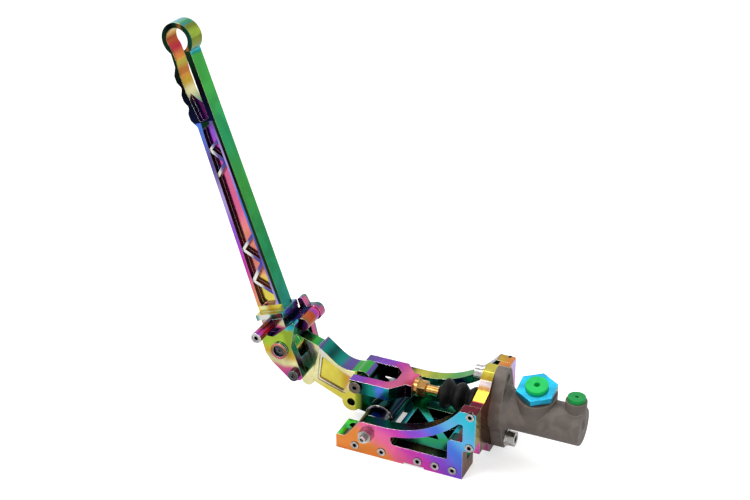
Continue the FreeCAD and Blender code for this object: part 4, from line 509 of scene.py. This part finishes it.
class DressHandle(bpy.types.Operator):
    """Rainbow film on the handle: green front, near rims painted dark as reflection, pocket walls painted
    dark as shade, pink pocket floor, orange slot walls
    """

    bl_idname = "handbrake.dress_handle"
    bl_label = "Handle film"

    def execute(self, context):
        front_stops = ((0.0, "teal"), (0.2, "emerald"), (0.45, "leaf"), (0.62, "emerald"), (0.8, "leaf"),
                       (0.885, "leaf"), (0.89, "teal"), (0.9, "cyan"), (0.915, "teal"), (0.93, "olive"),
                       (1.0, "olive"))
        # The ink and plum at the start of the wall run are painted shade on the pocket walls.
        wall_stops = ((0.0, "ink"), (0.05, "plum"), (0.3, "ink"), (0.64, "ink"), (0.68, "slate"),
                      (0.72, "teal"), (0.77, "cream"), (0.8, "gold"), (0.84, "orange"), (0.868, "lemon"),
                      (0.885, "orange"), (0.92, "red"), (0.945, "rust"), (0.985, "lemon"))
        floor_stops = ((0.0, "lemon"), (0.11, "lemon"), (0.17, "salmon"), (0.33, "salmon"), (0.48, "rose"),
                       (0.62, "rose"), (0.72, "magenta"), (0.82, "violet"), (0.88, "plum"), (1.0, "plum"))
        strip_stops = ((0.0, "gold"), (0.1, "salmon"), (0.25, "magenta"), (0.45, "violet"), (0.6, "lilac"),
                       (0.8, "slate"), (1.0, "blue"))
        # The moss and ink of the near rims are painted dark reflection.
        rim_stops = ((0.0, "pine"), (0.12, "moss"), (0.4, "moss"), (0.5, "ink"), (0.75, "moss"),
                     (0.9, "moss"), (1.0, "pine"))
        fillet_stops = ((0.0, "lilac"), (0.3, "slate"), (0.55, "blue"), (0.8, "lilac"), (1.0, "slate"))
        ring_stops = ((0.0, "cyan"), (0.12, "teal"), (0.25, "olive"), (0.6, "lime"), (0.75, "olive"),
                      (0.86, "emerald"), (1.0, "cyan"))
        patches = (
            patch(NEAR, ALONG, rise(26, 292), rim_stops, spread=SQUARE),
            patch(NEAR, ALONG, rise(30, 205), strip_stops, slab=TAPER, between=beside(-40, -14.4),
                  spread=SQUARE),
            patch(NEAR, ALONG, rise(36, 205), fillet_stops, slab=FRONT, between=forward(2.0, 5.4),
                  spread=SQUARE),
            # The next two patches paint dark reflection on the near face by the ring.
            patch(NEAR, ALONG, rise(200, 292), ((0.0, "navy"), (0.4, "ink"), (0.8, "moss"), (1.0, "pine")),
                  slab=ALONG, between=rise(206, 300), spread=SQUARE),
            patch(NEAR, FRONT, forward(-14, 15), ((0.0, "moss"), (0.45, "ink"), (0.6, "moss"),
                                                  (0.72, "bronze"), (0.8, "moss"), (1.0, "pine")),
                  slab=ALONG, between=rise(266, 300), spread=SQUARE),
            patch(NEAR, FRONT, forward(-18, 9), ((0.0, "lemon"), (0.25, "cream"), (0.5, "gold"),
                                                 (0.8, "lemon"), (1.0, "lime")), slab=ALONG,
                  between=rise(20, 36.6), spread=SQUARE),
            # The silver bands on the foot's near face are painted glints.
            patch(NEAR, FRONT, forward(-18, 9), ((0.0, "teal"), (0.2, "silver"), (0.45, "silver"),
                                                 (0.6, "emerald"), (0.8, "cream"), (1.0, "cyan")),
                  slab=ALONG, between=rise(20, 31), spread=SQUARE, wander=0.004),
            patch(NEAR, ALONG, rise(36, 230), floor_stops, slab=FAR, between=mm(-4.0, 4.0), spread=SQUARE),
            patch(NEAR, FRONT, forward(-14, 4), ((0.0, "silver"), (0.4, "silver"), (0.7, "slate"),
                                                 (1.0, "cobalt")), slab=FAR, between=mm(-7.2, -4.0),
                  spread=SQUARE, wander=0.004, grain=80.0),
            patch((0.66, 0.0, 0.75), ALONG, rise(262, 292), ring_stops, slab=ALONG, between=rise(266, 300),
                  spread=WIDE, wander=0.003),
            patch(FRONT, ALONG, rise(36, 292), wall_stops, slab=FRONT, between=forward(-30, 6.5),
                  spread=(0.3, 0.6), wander=0.003),
            patch(FRONT, ALONG, rise(26, 292), front_stops, slab=FRONT, between=forward(7.9, 8.9),
                  spread=(0.6, 0.8), wander=0.005),
            patch(FRONT, FAR, mm(-14, 14), ((0.0, "cyan"), (0.35, "blue"), (0.6, "teal"), (0.8, "sky"),
                                            (1.0, "pine")), slab=FRONT, between=forward(9.0, 10.5),
                  spread=(0.6, 0.8), wander=0.004),
            patch(ALONG, FRONT, forward(-20, 10), ((0.0, "lemon"), (0.4, "cream"), (0.6, "silver"),
                                                   (0.9, "sky"), (1.0, "teal")), slab=ALONG,
                  between=rise(20, 33), spread=SQUARE),
        )
        under = ground(ALONG, rise(20, 292), ((0.0, "violet"), (0.25, "magenta"), (0.5, "blue"),
                                              (0.7, "teal"), (0.9, "leaf"), (1.0, "cyan")))
        dress(film_material("handle_film", under, patches, shade=0.2, edge=0.32, edge_tint="cream"),
              "handle")
        return {"FINISHED"}


class DressElbow(bpy.types.Operator):
    """Rainbow film on the elbow's fork and its two barrels"""

    bl_idname = "handbrake.dress_elbow"
    bl_label = "Elbow film"

    def execute(self, context):
        under = ground(UP, mm(36, 98), ((0.0, "plum"), (0.25, "pine"), (0.5, "navy"), (0.7, "teal"),
                                        (0.85, "magenta"), (1.0, "rose")))
        ear_stops = ((0.0, "slate"), (0.08, "magenta"), (0.2, "rose"), (0.28, "cream"), (0.42, "gold"),
                     (0.55, "lime"), (0.78, "lime"), (0.86, "cyan"), (0.93, "teal"), (1.0, "silver"))
        side_stops = ((0.0, "teal"), (0.2, "pine"), (0.35, "slate"), (0.5, "teal"), (0.65, "emerald"),
                      (0.75, "cyan"), (0.88, "sky"), (1.0, "cyan"))
        patches = (
            patch(NEAR, UP, mm(36, 98), ((0.0, "pine"), (0.3, "ink"), (0.5, "plum"), (0.64, "magenta"),
                                         (0.74, "rose"), (0.8, "cream"), (0.9, "silver")), spread=MOSTLY),
            patch(NEAR, UP, mm(70, 104), ((0.0, "plum"), (0.3, "magenta"), (0.6, "rose"), (0.8, "magenta"),
                                          (1.0, "plum")),
                  slab=FAR, between=mm(12, 16), spread=MOSTLY),
            patch(NEAR, UP, mm(36, 98), ear_stops, slab=NEAR, between=mm(20.5, 22.6), spread=MOSTLY),
            patch(NEAR, UP, mm(56, 73), ((0.0, "rose"), (0.5, "bronze"), (1.0, "salmon")), slab=NEAR,
                  between=mm(23.0, 26.0), spread=MOSTLY),
            patch(NEAR, UP, mm(36, 98), ((0.0, "ink"), (0.5, "maroon"), (1.0, "ink")), slab=NEAR,
                  between=mm(18.0, 20.4), spread=MOSTLY),
            patch(AHEAD, UP, mm(36, 98), side_stops, spread=(0.35, 0.6)),
            patch(FRONT, FAR, mm(12, 24), ((0.0, "magenta"), (0.5, "rose"), (1.0, "teal")), slab=FAR,
                  between=mm(13, 24), spread=(0.5, 0.7)),
            patch(UP, FAR, mm(-22, 22), ((0.0, "teal"), (0.2, "cyan"), (0.5, "plum"), (0.8, "magenta"),
                                         (1.0, "teal")), spread=MOSTLY),
            patch(BEHIND, UP, mm(36, 98), ((0.0, "magenta"), (0.4, "cream"), (0.7, "rose"), (1.0, "teal")),
                  spread=(0.4, 0.7)),
        )
        dress(film_material("elbow_film", under, patches, shade=0.35, edge=0.6), "elbow_fork")
        barrel = ground(FAR, mm(-41, -14), ((0.0, "rose"), (0.12, "magenta"), (0.3, "red"), (0.6, "red"),
                                            (0.8, "maroon"), (1.0, "plum")))
        barrel_patches = (
            patch(UP, FAR, mm(-41, -14), ((0.0, "violet"), (0.25, "magenta"), (0.5, "maroon"),
                                          (1.0, "plum")), spread=(0.6, 0.95)),
            # Painted shade on the barrel's underside.
            patch(DOWN, FAR, mm(-41, -14), ((0.0, "ink"), (0.5, "plum"), (1.0, "ink")), spread=(0.2, 0.7)),
            patch(NEAR, UP, mm(78, 88), ((0.0, "silver"), (1.0, "silver")), spread=(0.6, 0.9)),
        )
        dress(film_material("front_barrel_film", barrel, barrel_patches, shade=0.35), "front_barrel")
        stop = ground(FAR, mm(-9, 14), ((0.0, "bronze"), (0.4, "rust"), (0.66, "rust"), (0.72, "violet"),
                                        (0.8, "magenta"), (1.0, "rose")), wander=0.002)
        stop_patches = (
            patch(DOWN, FAR, mm(-9, 14), ((0.0, "maroon"), (0.6, "rust"), (1.0, "plum")), spread=(0.3, 0.8)),
            patch(NEAR, UP, mm(78, 94), ((0.0, "maroon"), (0.5, "plum"), (1.0, "maroon")),
                  spread=(0.6, 0.9)),
        )
        dress(film_material("rear_barrel_film", stop, stop_patches, shade=0.2), "rear_stop_barrel")
        return {"FINISHED"}


class DressLever(bpy.types.Operator):
    """Rainbow film on the lower lever: teal back, yellow side panel, cream belly, hub painted dark as shade
    with painted highlights
    """

    bl_idname = "handbrake.dress_lever"
    bl_label = "Lever film"

    def execute(self, context):
        # The ground darkens towards the hub as painted shade between the side plates.
        under = ground(AHEAD, mm(-134, -16), ((0.0, "cream"), (0.3, "gold"), (0.5, "plum"), (0.65, "moss"),
                                              (0.8, "pine"), (1.0, "navy")))
        back_stops = ((0.0, "leaf"), (0.07, "emerald"), (0.11, "lilac"), (0.15, "slate"), (0.21, "teal"),
                      (0.35, "pine"), (0.5, "teal"), (0.66, "slate"), (0.8, "slate"), (0.92, "violet"),
                      (1.0, "slate"))
        side_stops = ((0.0, "cream"), (0.4, "cream"), (0.5, "silver"), (0.68, "cream"), (0.76, "salmon"),
                      (0.81, "lime"), (0.86, "moss"), (1.0, "pine"))
        rim_stops = ((0.0, "lemon"), (0.25, "lemon"), (0.45, "cream"), (0.8, "cream"), (0.9, "silver"),
                     (1.0, "lilac"))
        # Painted shade on the hub, with a painted cyan highlight line.
        hub_stops = ((0.0, "ink"), (0.35, "moss"), (0.55, "navy"), (0.6, "cyan"), (0.64, "navy"),
                     (1.0, "pine"))
        patches = (
            patch(UP, AHEAD, mm(-97, -50), back_stops, slab=UP, between=mm(44, 90), spread=(0.25, 0.5),
                  wander=0.003),
            patch(UP, AHEAD, mm(-136, -108), ((0.0, "emerald"), (0.5, "leaf"), (1.0, "emerald")), slab=AHEAD,
                  between=mm(-140, -104), spread=(0.0, 0.3)),
            patch(NEAR, AHEAD, mm(-134, -40), side_stops, spread=MOSTLY),
            patch(NEAR, UP, mm(14, 70), rim_stops, slab=NEAR, between=mm(9.2, 10.0), spread=MOSTLY),
            patch(NEAR, AHEAD, mm(-62, -44), ((0.0, "lemon"), (0.3, "lime"), (0.5, "olive"), (0.7, "moss"),
                                              (1.0, "pine")),
                  slab=AHEAD, between=mm(-57, -20), spread=MOSTLY),
            patch(NEAR, AHEAD, mm(-97, -60), ((0.0, "lime"), (0.15, "lemon"), (0.6, "lemon"), (0.85, "gold"),
                                              (1.0, "salmon")), slab=NEAR, between=mm(6.5, 7.4),
                  spread=MOSTLY, wander=0.012),
            patch(DOWN, AHEAD, mm(-130, -40), ((0.0, "cream"), (0.6, "lemon"), (1.0, "navy")),
                  spread=(0.3, 0.6)),
            patch((-0.7, 0.0, 0.7), UP, mm(44, 58), ((0.0, "emerald"), (0.4, "leaf"), (1.0, "leaf")),
                  slab=AHEAD, between=mm(-60, -40), spread=(0.2, 0.4)),
            patch(AHEAD, UP, mm(5, 35), hub_stops, slab=AHEAD, between=mm(-44, -10), spread=(-0.3, 0.3)),
            # Painted pale highlight on the hub's near rim, over painted shade below it.
            patch(NEAR, UP, mm(5, 35), ((0.0, "ink"), (0.5, "rose"), (1.0, "silver")), slab=NEAR,
                  between=mm(15, 30), spread=MOSTLY),
        )
        dress(film_material("lever_film", under, patches, shade=0.2, edge=0.55, edge_tint="cream"),
              "lower_lever")
        return {"FINISHED"}


class DressYoke(bpy.types.Operator):
    """Rainbow film on the yoke, gold plating on the pushrod and its nut, bronze plating on the pin"""

    bl_idname = "handbrake.dress_yoke"
    bl_label = "Yoke finishes"

    def execute(self, context):
        under = ground(AHEAD, mm(-57, -4), ((0.0, "pine"), (0.4, "ink"), (0.7, "maroon"), (1.0, "navy")))
        side_stops = ((0.0, "olive"), (0.12, "moss"), (0.25, "pine"), (0.4, "teal"), (0.55, "blue"),
                      (0.66, "cyan"), (0.74, "teal"), (0.85, "plum"), (1.0, "navy"))
        patches = (
            patch(UP, (1.0, -0.25, 0.0), mm(-60, 0), ((0.0, "slate"), (0.3, "violet"), (0.5, "magenta"),
                                                      (0.75, "rose"), (1.0, "red")),
                  spread=MOSTLY, wander=0.012),
            patch(NEAR, AHEAD, mm(-57, -4), side_stops, slab=NEAR, between=mm(13, 23), spread=(0.35, 0.6)),
            patch(AHEAD, NEAR, mm(-10, 22), ((0.0, "plum"), (0.5, "magenta"), (1.0, "cobalt")),
                  spread=STRICT),
            patch(BEHIND, NEAR, mm(-22, 22), ((0.0, "ink"), (0.5, "teal"), (1.0, "lime")),
                  spread=(0.7, 0.95)),
        )
        dress(film_material("yoke_film", under, patches, shade=0.25), "yoke")
        plated = mottled_material("yellow_steel", sizes().yellow_steel, metallic=1.0, base=0.24, spread=0.16,
                               grain=700.0, bump=0.08, darker=0.45, edge=0.6, edge_tint="cream")
        dress(plated, "pushrod", "jam_nut")
        # The pin is painted dark as shade along the slab from 15 to 23.2 mm on the near side.
        pin = mottled_material("bronze_plating", BRONZE_PLATING, metallic=1.0, base=0.3, spread=0.2,
                            grain=900.0, bump=0.1, darker=0.6, edge=0.5, shaded_hollows=((NEAR, mm(15, 23.2)),))
        dress(pin, "clevis_pin")
        return {"FINISHED"}


class DressBase(bpy.types.Operator):
    """Rainbow film on the side plates, the base plate, the mounting plate and the pivot's spacers"""

    bl_idname = "handbrake.dress_base"
    bl_label = "Base film"

    def execute(self, context):
        sweep = (1.0, 0.0, 1.2)
        near_stops = ((0.0, "orange"), (0.2, "orange"), (0.32, "rose"), (0.44, "magenta"), (0.56, "violet"),
                      (0.68, "blue"), (0.8, "sky"), (1.0, "cyan"))
        far_stops = ((0.0, "orange"), (0.25, "gold"), (0.4, "rose"), (0.55, "violet"), (0.7, "blue"),
                     (1.0, "cyan"))
        under = ground(AHEAD, mm(-57, 68), ((0.0, "leaf"), (0.2, "pine"), (0.5, "navy"), (0.8, "teal"),
                                            (1.0, "navy")))
        # The moss, pine and ink on the near plate's top are painted dark reflection.
        top_stops = ((0.0, "emerald"), (0.06, "moss"), (0.14, "pine"), (0.22, "moss"), (0.35, "moss"),
                     (0.5, "ink"), (0.7, "moss"), (0.83, "pine"), (0.9, "maroon"), (1.0, "maroon"))
        patches = (
            patch(NEAR, sweep, mm(-57, 143), near_stops, spread=MOSTLY, wander=0.02, grain=28.0),
            patch(UP, AHEAD, mm(-57, 68), top_stops, spread=WIDE),
            patch(AHEAD, UP, mm(0, 66), ((0.0, "maroon"), (0.3, "bronze"), (0.6, "gold"), (1.0, "cream")),
                  spread=STRICT),
            patch(FAR, AHEAD, mm(-57, 68), ((0.0, "teal"), (0.3, "navy"), (0.6, "pine"), (1.0, "cobalt")),
                  spread=MOSTLY),
        )
        dress(film_material("near_plate_film", under, patches, shade=0.1, edge=0.6, edge_tint="silver"),
              "side_plate_near")
        far_patches = (
            patch(NEAR, (1.0, 0.0, 0.5), mm(-57, 90), ((0.0, "teal"), (0.2, "navy"), (0.4, "emerald"),
                                                       (0.5, "teal"), (0.65, "navy"), (0.8, "emerald"),
                                                       (1.0, "teal")),
                  spread=MOSTLY, wander=0.03, grain=60.0),
            patch(UP, AHEAD, mm(-30, 68), ((0.0, "moss"), (0.15, "lemon"), (0.3, "lime"), (0.5, "leaf"),
                                           (0.7, "leaf"), (0.82, "slate"), (0.88, "gold"), (1.0, "orange")),
                  spread=WIDE),
            patch(AHEAD, UP, mm(0, 66), ((0.0, "plum"), (0.5, "magenta"), (1.0, "lilac")), spread=STRICT),
            patch(FAR, sweep, mm(-57, 143), far_stops, spread=MOSTLY, wander=0.02, grain=28.0),
        )
        dress(film_material("far_plate_film", under, far_patches, shade=0.25, edge=0.5), "side_plate_far")
        plate_patches = (
            patch(UP, FAR, mm(-37, 37), ((0.0, "teal"), (0.2, "emerald"), (0.5, "cyan"), (0.75, "emerald"),
                                         (1.0, "teal")), spread=(0.5, 0.8), wander=0.02, grain=50.0),
            # The pockets' floors are painted ink and navy as shade.
            patch(UP, FAR, mm(-37, 37), ((0.0, "ink"), (0.5, "navy"), (1.0, "ink")), slab=UP,
                  between=mm(2, 6), spread=(0.5, 0.8)),
            patch(AHEAD, UP, mm(0, 13), ((0.0, "bronze"), (1.0, "maroon")), spread=SQUARE),
        )
        dress(film_material("base_plate_film", under, plate_patches, shade=0.2, edge=0.4), "base_plate")
        hump_stops = ((0.0, "gold"), (0.35, "gold"), (0.5, "silver"), (0.62, "silver"), (0.72, "gold"),
                      (1.0, "lemon"))
        mount_patches = (
            patch(UP, FAR, mm(-37, 37), ((0.0, "maroon"), (0.3, "maroon"), (0.7, "gold"), (1.0, "orange")),
                  spread=(0.1, 0.35), wander=0.002),
            patch(UP, UP, mm(66.2, 81.5), hump_stops, slab=UP, between=mm(66.2, 90), spread=(0.1, 0.35),
                  wander=0.001),
            patch(AHEAD, UP, mm(7, 82), ((0.0, "maroon"), (0.4, "bronze"), (0.7, "rust"), (0.85, "bronze"),
                                         (1.0, "gold")), spread=STRICT, wander=0.02),
            patch(BEHIND, FAR, mm(-37, 37), ((0.0, "teal"), (0.3, "navy"), (0.6, "teal"), (1.0, "emerald")),
                  spread=STRICT, wander=0.02),
            patch(NEAR, AHEAD, mm(57, 68), ((0.0, "rose"), (0.45, "rose"), (0.5, "cream"), (0.55, "rose"),
                                            (1.0, "magenta")), spread=STRICT, wander=0.001),
        )
        dress(film_material("mount_plate_film", under, mount_patches, shade=0.25, edge=0.55,
                            edge_tint="cream"), "cylinder_mount_plate")
        # The spacers are painted dark as shade between the plates, with a painted pale highlight up on the
        # faces that look ahead.
        spacer = ground(UP, mm(8, 32), ((0.0, "ink"), (0.5, "navy"), (0.8, "cobalt"), (1.0, "navy")))
        spacer_patches = (
            patch(AHEAD, UP, mm(8, 32), ((0.0, "ink"), (0.6, "navy"), (1.0, "silver")), spread=(0.5, 0.9)),
        )
        dress(film_material("spacer_film", spacer, spacer_patches, shade=0.5, edge=0.8), "pivot_spacer_near",
              "pivot_spacer_far")
        return {"FINISHED"}


class DressCylinder(bpy.types.Operator):
    """Cast grey cylinder, cyan hexagon, green plugs, seals, piston and spring"""

    bl_idname = "handbrake.dress_cylinder"
    bl_label = "Cylinder finishes"

    def execute(self, context):
        size = sizes()
        cast = mottled_material("cast_grey", size.casting, metallic=0.25, base=0.55, spread=0.25, grain=1500.0,
                             bump=0.35, darker=0.3, edge=0.18, edge_tint="cream", radius=0.0012,
                             specular=0.3)
        dress(cast, "cylinder_casting")
        cyan = mottled_material("cyan_anodised", size.hexagon, metallic=0.8, base=0.3, spread=0.15,
                             grain=1200.0, bump=0.12, edge=0.35, edge_tint="sky")
        dress(cyan, "inlet_adapter")
        plastic = dict(metallic=0.0, base=0.45, spread=0.12, grain=900.0, bump=0.1, edge=0.2, specular=0.2)
        dress(mottled_material("inlet_plug_green", size.inlet_plug, darker=0.2, edge_tint="lime", **plastic),
              "inlet_plug")
        dress(mottled_material("outlet_plug_green", size.outlet_plug, darker=0.3, edge_tint="leaf", **plastic),
              "outlet_plug")
        rubber = mottled_material("black_rubber", size.rubber, metallic=0.0, base=0.55, spread=0.2,
                               grain=1100.0, bump=0.2, darker=0.4, edge=0.1)
        dress(rubber, "adapter_seal_ring", "piston_seals")
        bare = dict(metallic=1.0, spread=0.2)
        dress(mottled_material("bare_aluminium", BARE_ALUMINIUM, base=0.3, grain=1200.0, bump=0.15, **bare),
              "piston")
        dress(mottled_material("spring_steel", SPRING_STEEL, base=0.3, grain=900.0, bump=0.1, **bare),
              "return_spring", "piston_circlip")
        dress(mottled_material("bronze", BUSH_BRONZE, base=0.35, grain=900.0, bump=0.15, **bare),
              "pivot_bushes")
        return {"FINISHED"}


class DressFasteners(bpy.types.Operator):
    """Bright or dark plating on the screws, bolts, nuts and washers, with painted shade in the sockets"""

    bl_idname = "handbrake.dress_fasteners"
    bl_label = "Fastener plating"

    def execute(self, context):
        def plated(name, *shaded_hollows):
            return mottled_material(name, sizes().steel, metallic=1.0, base=0.17, spread=0.14, grain=900.0,
                                 bump=0.06, darker=0.5, edge=0.5, broad=160.0, shaded_hollows=shaded_hollows)
        dress(plated("bright_plating"), "pivot_nuts", "pivot_shaft", "flange_bolts", "flange_washers",
              "clevis_clip", "clevis_washers", "barrel_nut", "rear_stop_bolt", "elbow_pivot_nut", "lock_nut")
        # The screws' sockets are painted dark as shade.
        dress(plated("near_screw_plating", (NEAR, mm(0, 48.4))), "plate_screws_near")
        dress(plated("far_screw_plating", (FAR, mm(0, 48.4))), "plate_screws_far")
        dress(plated("barrel_screw_plating", (NEAR, mm(37.5, 40.2))), "barrel_screw")
        dark = mottled_material("dark_plating", DARK_PLATING, metallic=1.0, base=0.25, spread=0.2, grain=900.0,
                             bump=0.08, darker=0.5, edge=0.6)
        dress(dark, "lock_bolt", "elbow_pivot_bolt")
        return {"FINISHED"}


def revolved(name, along, radius, height, count=128):
    """A closed ring of profile points turned about the cylinder's axis.

    A point at profile step i and turn angle a is at X = along(i), Y = radius(i) times sin(a) and
    Z = height plus radius(i) times cos(a). The profile closes on itself, so the surface is a closed wall.
    """
    angle = np.linspace(0.0, 2 * np.pi, count, endpoint=False)
    steps = len(along)
    points = np.empty((steps, count, 3))
    points[..., 0] = along[:, None]
    points[..., 1] = radius[:, None] * np.sin(angle)[None, :]
    points[..., 2] = height + radius[:, None] * np.cos(angle)[None, :]
    index = np.arange(steps * count).reshape(steps, count)
    ahead = np.roll(index, -1, axis=0)
    faces = np.stack((index, ahead, np.roll(ahead, -1, axis=1), np.roll(index, -1, axis=1)),
                     axis=-1).reshape(-1, 4)
    mesh = bpy.data.meshes.new(name)
    mesh.vertices.add(steps * count)
    mesh.vertices.foreach_set("co", points.reshape(-1).astype(np.float32))
    mesh.loops.add(faces.size)
    mesh.loops.foreach_set("vertex_index", faces.reshape(-1).astype(np.int32))
    mesh.polygons.add(len(faces))
    mesh.polygons.foreach_set("loop_start", np.arange(0, faces.size, 4, dtype=np.int32))
    mesh.polygons.foreach_set("use_smooth", np.ones(len(faces), dtype=bool))
    mesh.update(calc_edges=True)
    mesh.validate()
    piece = bpy.data.objects.new(name, mesh)
    bpy.context.scene.collection.objects.link(piece)
    return piece


class AddBoot(bpy.types.Operator):
    """Rubber bellows between the pushrod and the mounting plate"""

    bl_idname = "handbrake.add_boot"
    bl_label = "Dust boot"

    def execute(self, context):
        size = sizes()
        share = np.linspace(0.0, 1.0, BOOT_STEPS)
        along = size.boot_start + share * (size.boot_end - size.boot_start)
        # Radius: a crest line that falls towards the plate, less a valley between folds, and drawn in at
        # the mouth.
        wave = 0.5 + 0.5 * np.cos(2 * np.pi * (FOLDS * share + FOLD_START))
        crest = size.boot_crest * (1.0 - CREST_FALL * share)
        outer = crest - FOLD_DEPTH * (1.0 - wave ** FOLD_SHARPNESS)
        mouth = np.clip(share / MOUTH_SHARE, 0.0, 1.0)
        mouth = mouth * mouth * (3 - 2 * mouth)
        outer = MOUTH_RADIUS + (outer - MOUTH_RADIUS) * mouth
        seat = np.clip((share - 1.0) / SEAT_SHARE + 1.0, 0.0, 1.0)
        outer = outer + (SEAT_RADIUS - outer) * seat
        inner = np.maximum(outer - size.boot_wall, ROD_HOLE)
        piece = revolved("dust_boot_bellows", np.concatenate((along, along[::-1])),
                         np.concatenate((outer, inner[::-1])), size.axis_height)
        rubber = mottled_material("boot_rubber", size.rubber, metallic=0.0, base=0.5, spread=0.25, grain=1400.0,
                               bump=0.25, darker=0.5, edge=0.0, radius=0.0002, broad=120.0, specular=0.15)
        piece.data.materials.append(rubber)
        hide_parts("dust_boot")
        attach(piece, "base")
        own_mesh(piece)
        return {"FINISHED"}


def soft_lamp(name, place, target, width, height, power, colour):
    """An area lamp that faces a target."""
    data = bpy.data.lights.new(name, "AREA")
    data.shape = "RECTANGLE"
    data.size = width
    data.size_y = height
    data.energy = power * sizes().lamp_level
    data.color = colour
    lamp = bpy.data.objects.new(name, data)
    lamp.location = place
    lamp.rotation_euler = (Vector(target) - Vector(place)).to_track_quat("-Z", "Y").to_euler()
    bpy.context.scene.collection.objects.link(lamp)


class SetStage(bpy.types.Operator):
    """Pale floor, white surroundings, three soft lamps and the camera"""

    bl_idname = "handbrake.set_stage"
    bl_label = "Stage"

    def execute(self, context):
        scene = context.scene
        scene.view_settings.view_transform = "Standard"
        world = bpy.data.worlds.new("studio")
        world.use_nodes = True
        scene.world = world
        wiring = Wiring(world.node_tree)
        nodes = world.node_tree.nodes
        path = wiring.add("ShaderNodeLightPath").outputs
        seen = wiring.math("MAXIMUM", path["Is Camera Ray"], wiring.math("MAXIMUM", path["Is Glossy Ray"],
                                                                        path["Is Transmission Ray"]))
        level = wiring.add("ShaderNodeMapRange", {"Value": seen, "To Min": SURROUND_LIGHT,
                                                  "To Max": SURROUND_SEEN}).outputs["Result"]
        wiring.feed(nodes["Background"].inputs["Color"], WHITE)
        wiring.feed(nodes["Background"].inputs["Strength"], level)

        mesh = bpy.data.meshes.new("floor")
        corners = [(x * FLOOR_REACH, y * FLOOR_REACH, 0.0) for x, y in ((-1, -1), (1, -1), (1, 1), (-1, 1))]
        mesh.from_pydata(corners, [], [(0, 1, 2, 3)])
        floor = bpy.data.objects.new("floor", mesh)
        scene.collection.objects.link(floor)
        material = bpy.data.materials.new("pale_floor")
        material.use_nodes = True
        wiring = Wiring(material.node_tree)
        material.node_tree.nodes.clear()
        path = wiring.add("ShaderNodeLightPath").outputs
        seen = wiring.math("MULTIPLY", path["Is Camera Ray"], FLOOR_SEEN)
        mirrored = wiring.math("MULTIPLY", path["Is Glossy Ray"], FLOOR_MIRRORED)
        place = wiring.add("ShaderNodeTexCoord").outputs["Object"]
        speck = wiring.noise(place, 300.0).outputs["Fac"]
        pale = wiring.mix(speck, FLOOR_DARK, FLOOR_LIGHT)
        diffuse = wiring.add("ShaderNodeBsdfDiffuse", {"Color": pale})
        glow = wiring.add("ShaderNodeEmission", {"Color": WHITE,
                                                 "Strength": wiring.math("ADD", seen, mirrored)})
        both = wiring.add("ShaderNodeAddShader", {0: diffuse.outputs[0], 1: glow.outputs[0]})
        wiring.add("ShaderNodeOutputMaterial", {"Surface": both.outputs[0]})
        floor.data.materials.append(material)

        for lamp in LAMPS:
            soft_lamp(*lamp)

        data = bpy.data.cameras.new("camera")
        data.sensor_width = SENSOR_WIDTH
        data.lens = LENS_PIXELS / PICTURE_WIDTH * SENSOR_WIDTH
        camera = bpy.data.objects.new("camera", data)
        ahead = Vector(CAMERA_AIM).normalized()
        right = ahead.cross(Vector((0, 0, 1))).normalized()
        above = right.cross(ahead)
        turn = Matrix((right, above, -ahead)).transposed() @ Matrix.Rotation(CAMERA_ROLL, 3, "Z")
        camera.matrix_world = Matrix.Translation(CAMERA_PLACE) @ turn.to_4x4()
        scene.collection.objects.link(camera)
        scene.camera = camera
        return {"FINISHED"}


STEPS = (DressBase, DressLever, DressYoke, DressElbow, DressHandle, DressCylinder, DressFasteners, AddBoot,
         SetStage)


class HandbrakePanel(bpy.types.Panel):
    """Buttons for each step of the dressing"""

    bl_idname = "VIEW3D_PT_handbrake"
    bl_label = "Handbrake"
    bl_space_type = "VIEW_3D"
    bl_region_type = "UI"
    bl_category = "Handbrake"

    def draw(self, context):
        column = self.layout.column()
        for name in HandbrakeSizes.__annotations__:
            column.prop(context.scene.handbrake_sizes, name)
        for name in FilmTints.__annotations__:
            column.prop(context.scene.film_tints, name)
        for step in STEPS:
            column.operator(step.bl_idname)


CLASSES = (FilmTints, HandbrakeSizes, *STEPS, HandbrakePanel)


def register():
    for item in CLASSES:
        bpy.utils.register_class(item)
    bpy.types.Scene.film_tints = bpy.props.PointerProperty(type=FilmTints)
    bpy.types.Scene.handbrake_sizes = bpy.props.PointerProperty(type=HandbrakeSizes)


def unregister():
    del bpy.types.Scene.handbrake_sizes
    del bpy.types.Scene.film_tints
    for item in reversed(CLASSES):
        bpy.utils.unregister_class(item)


def main():
    """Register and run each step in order."""
    register()
    for step in STEPS:
        family, call = step.bl_idname.split(".")
        getattr(getattr(bpy.ops, family), call)()


if __name__ == "__main__":
    main()
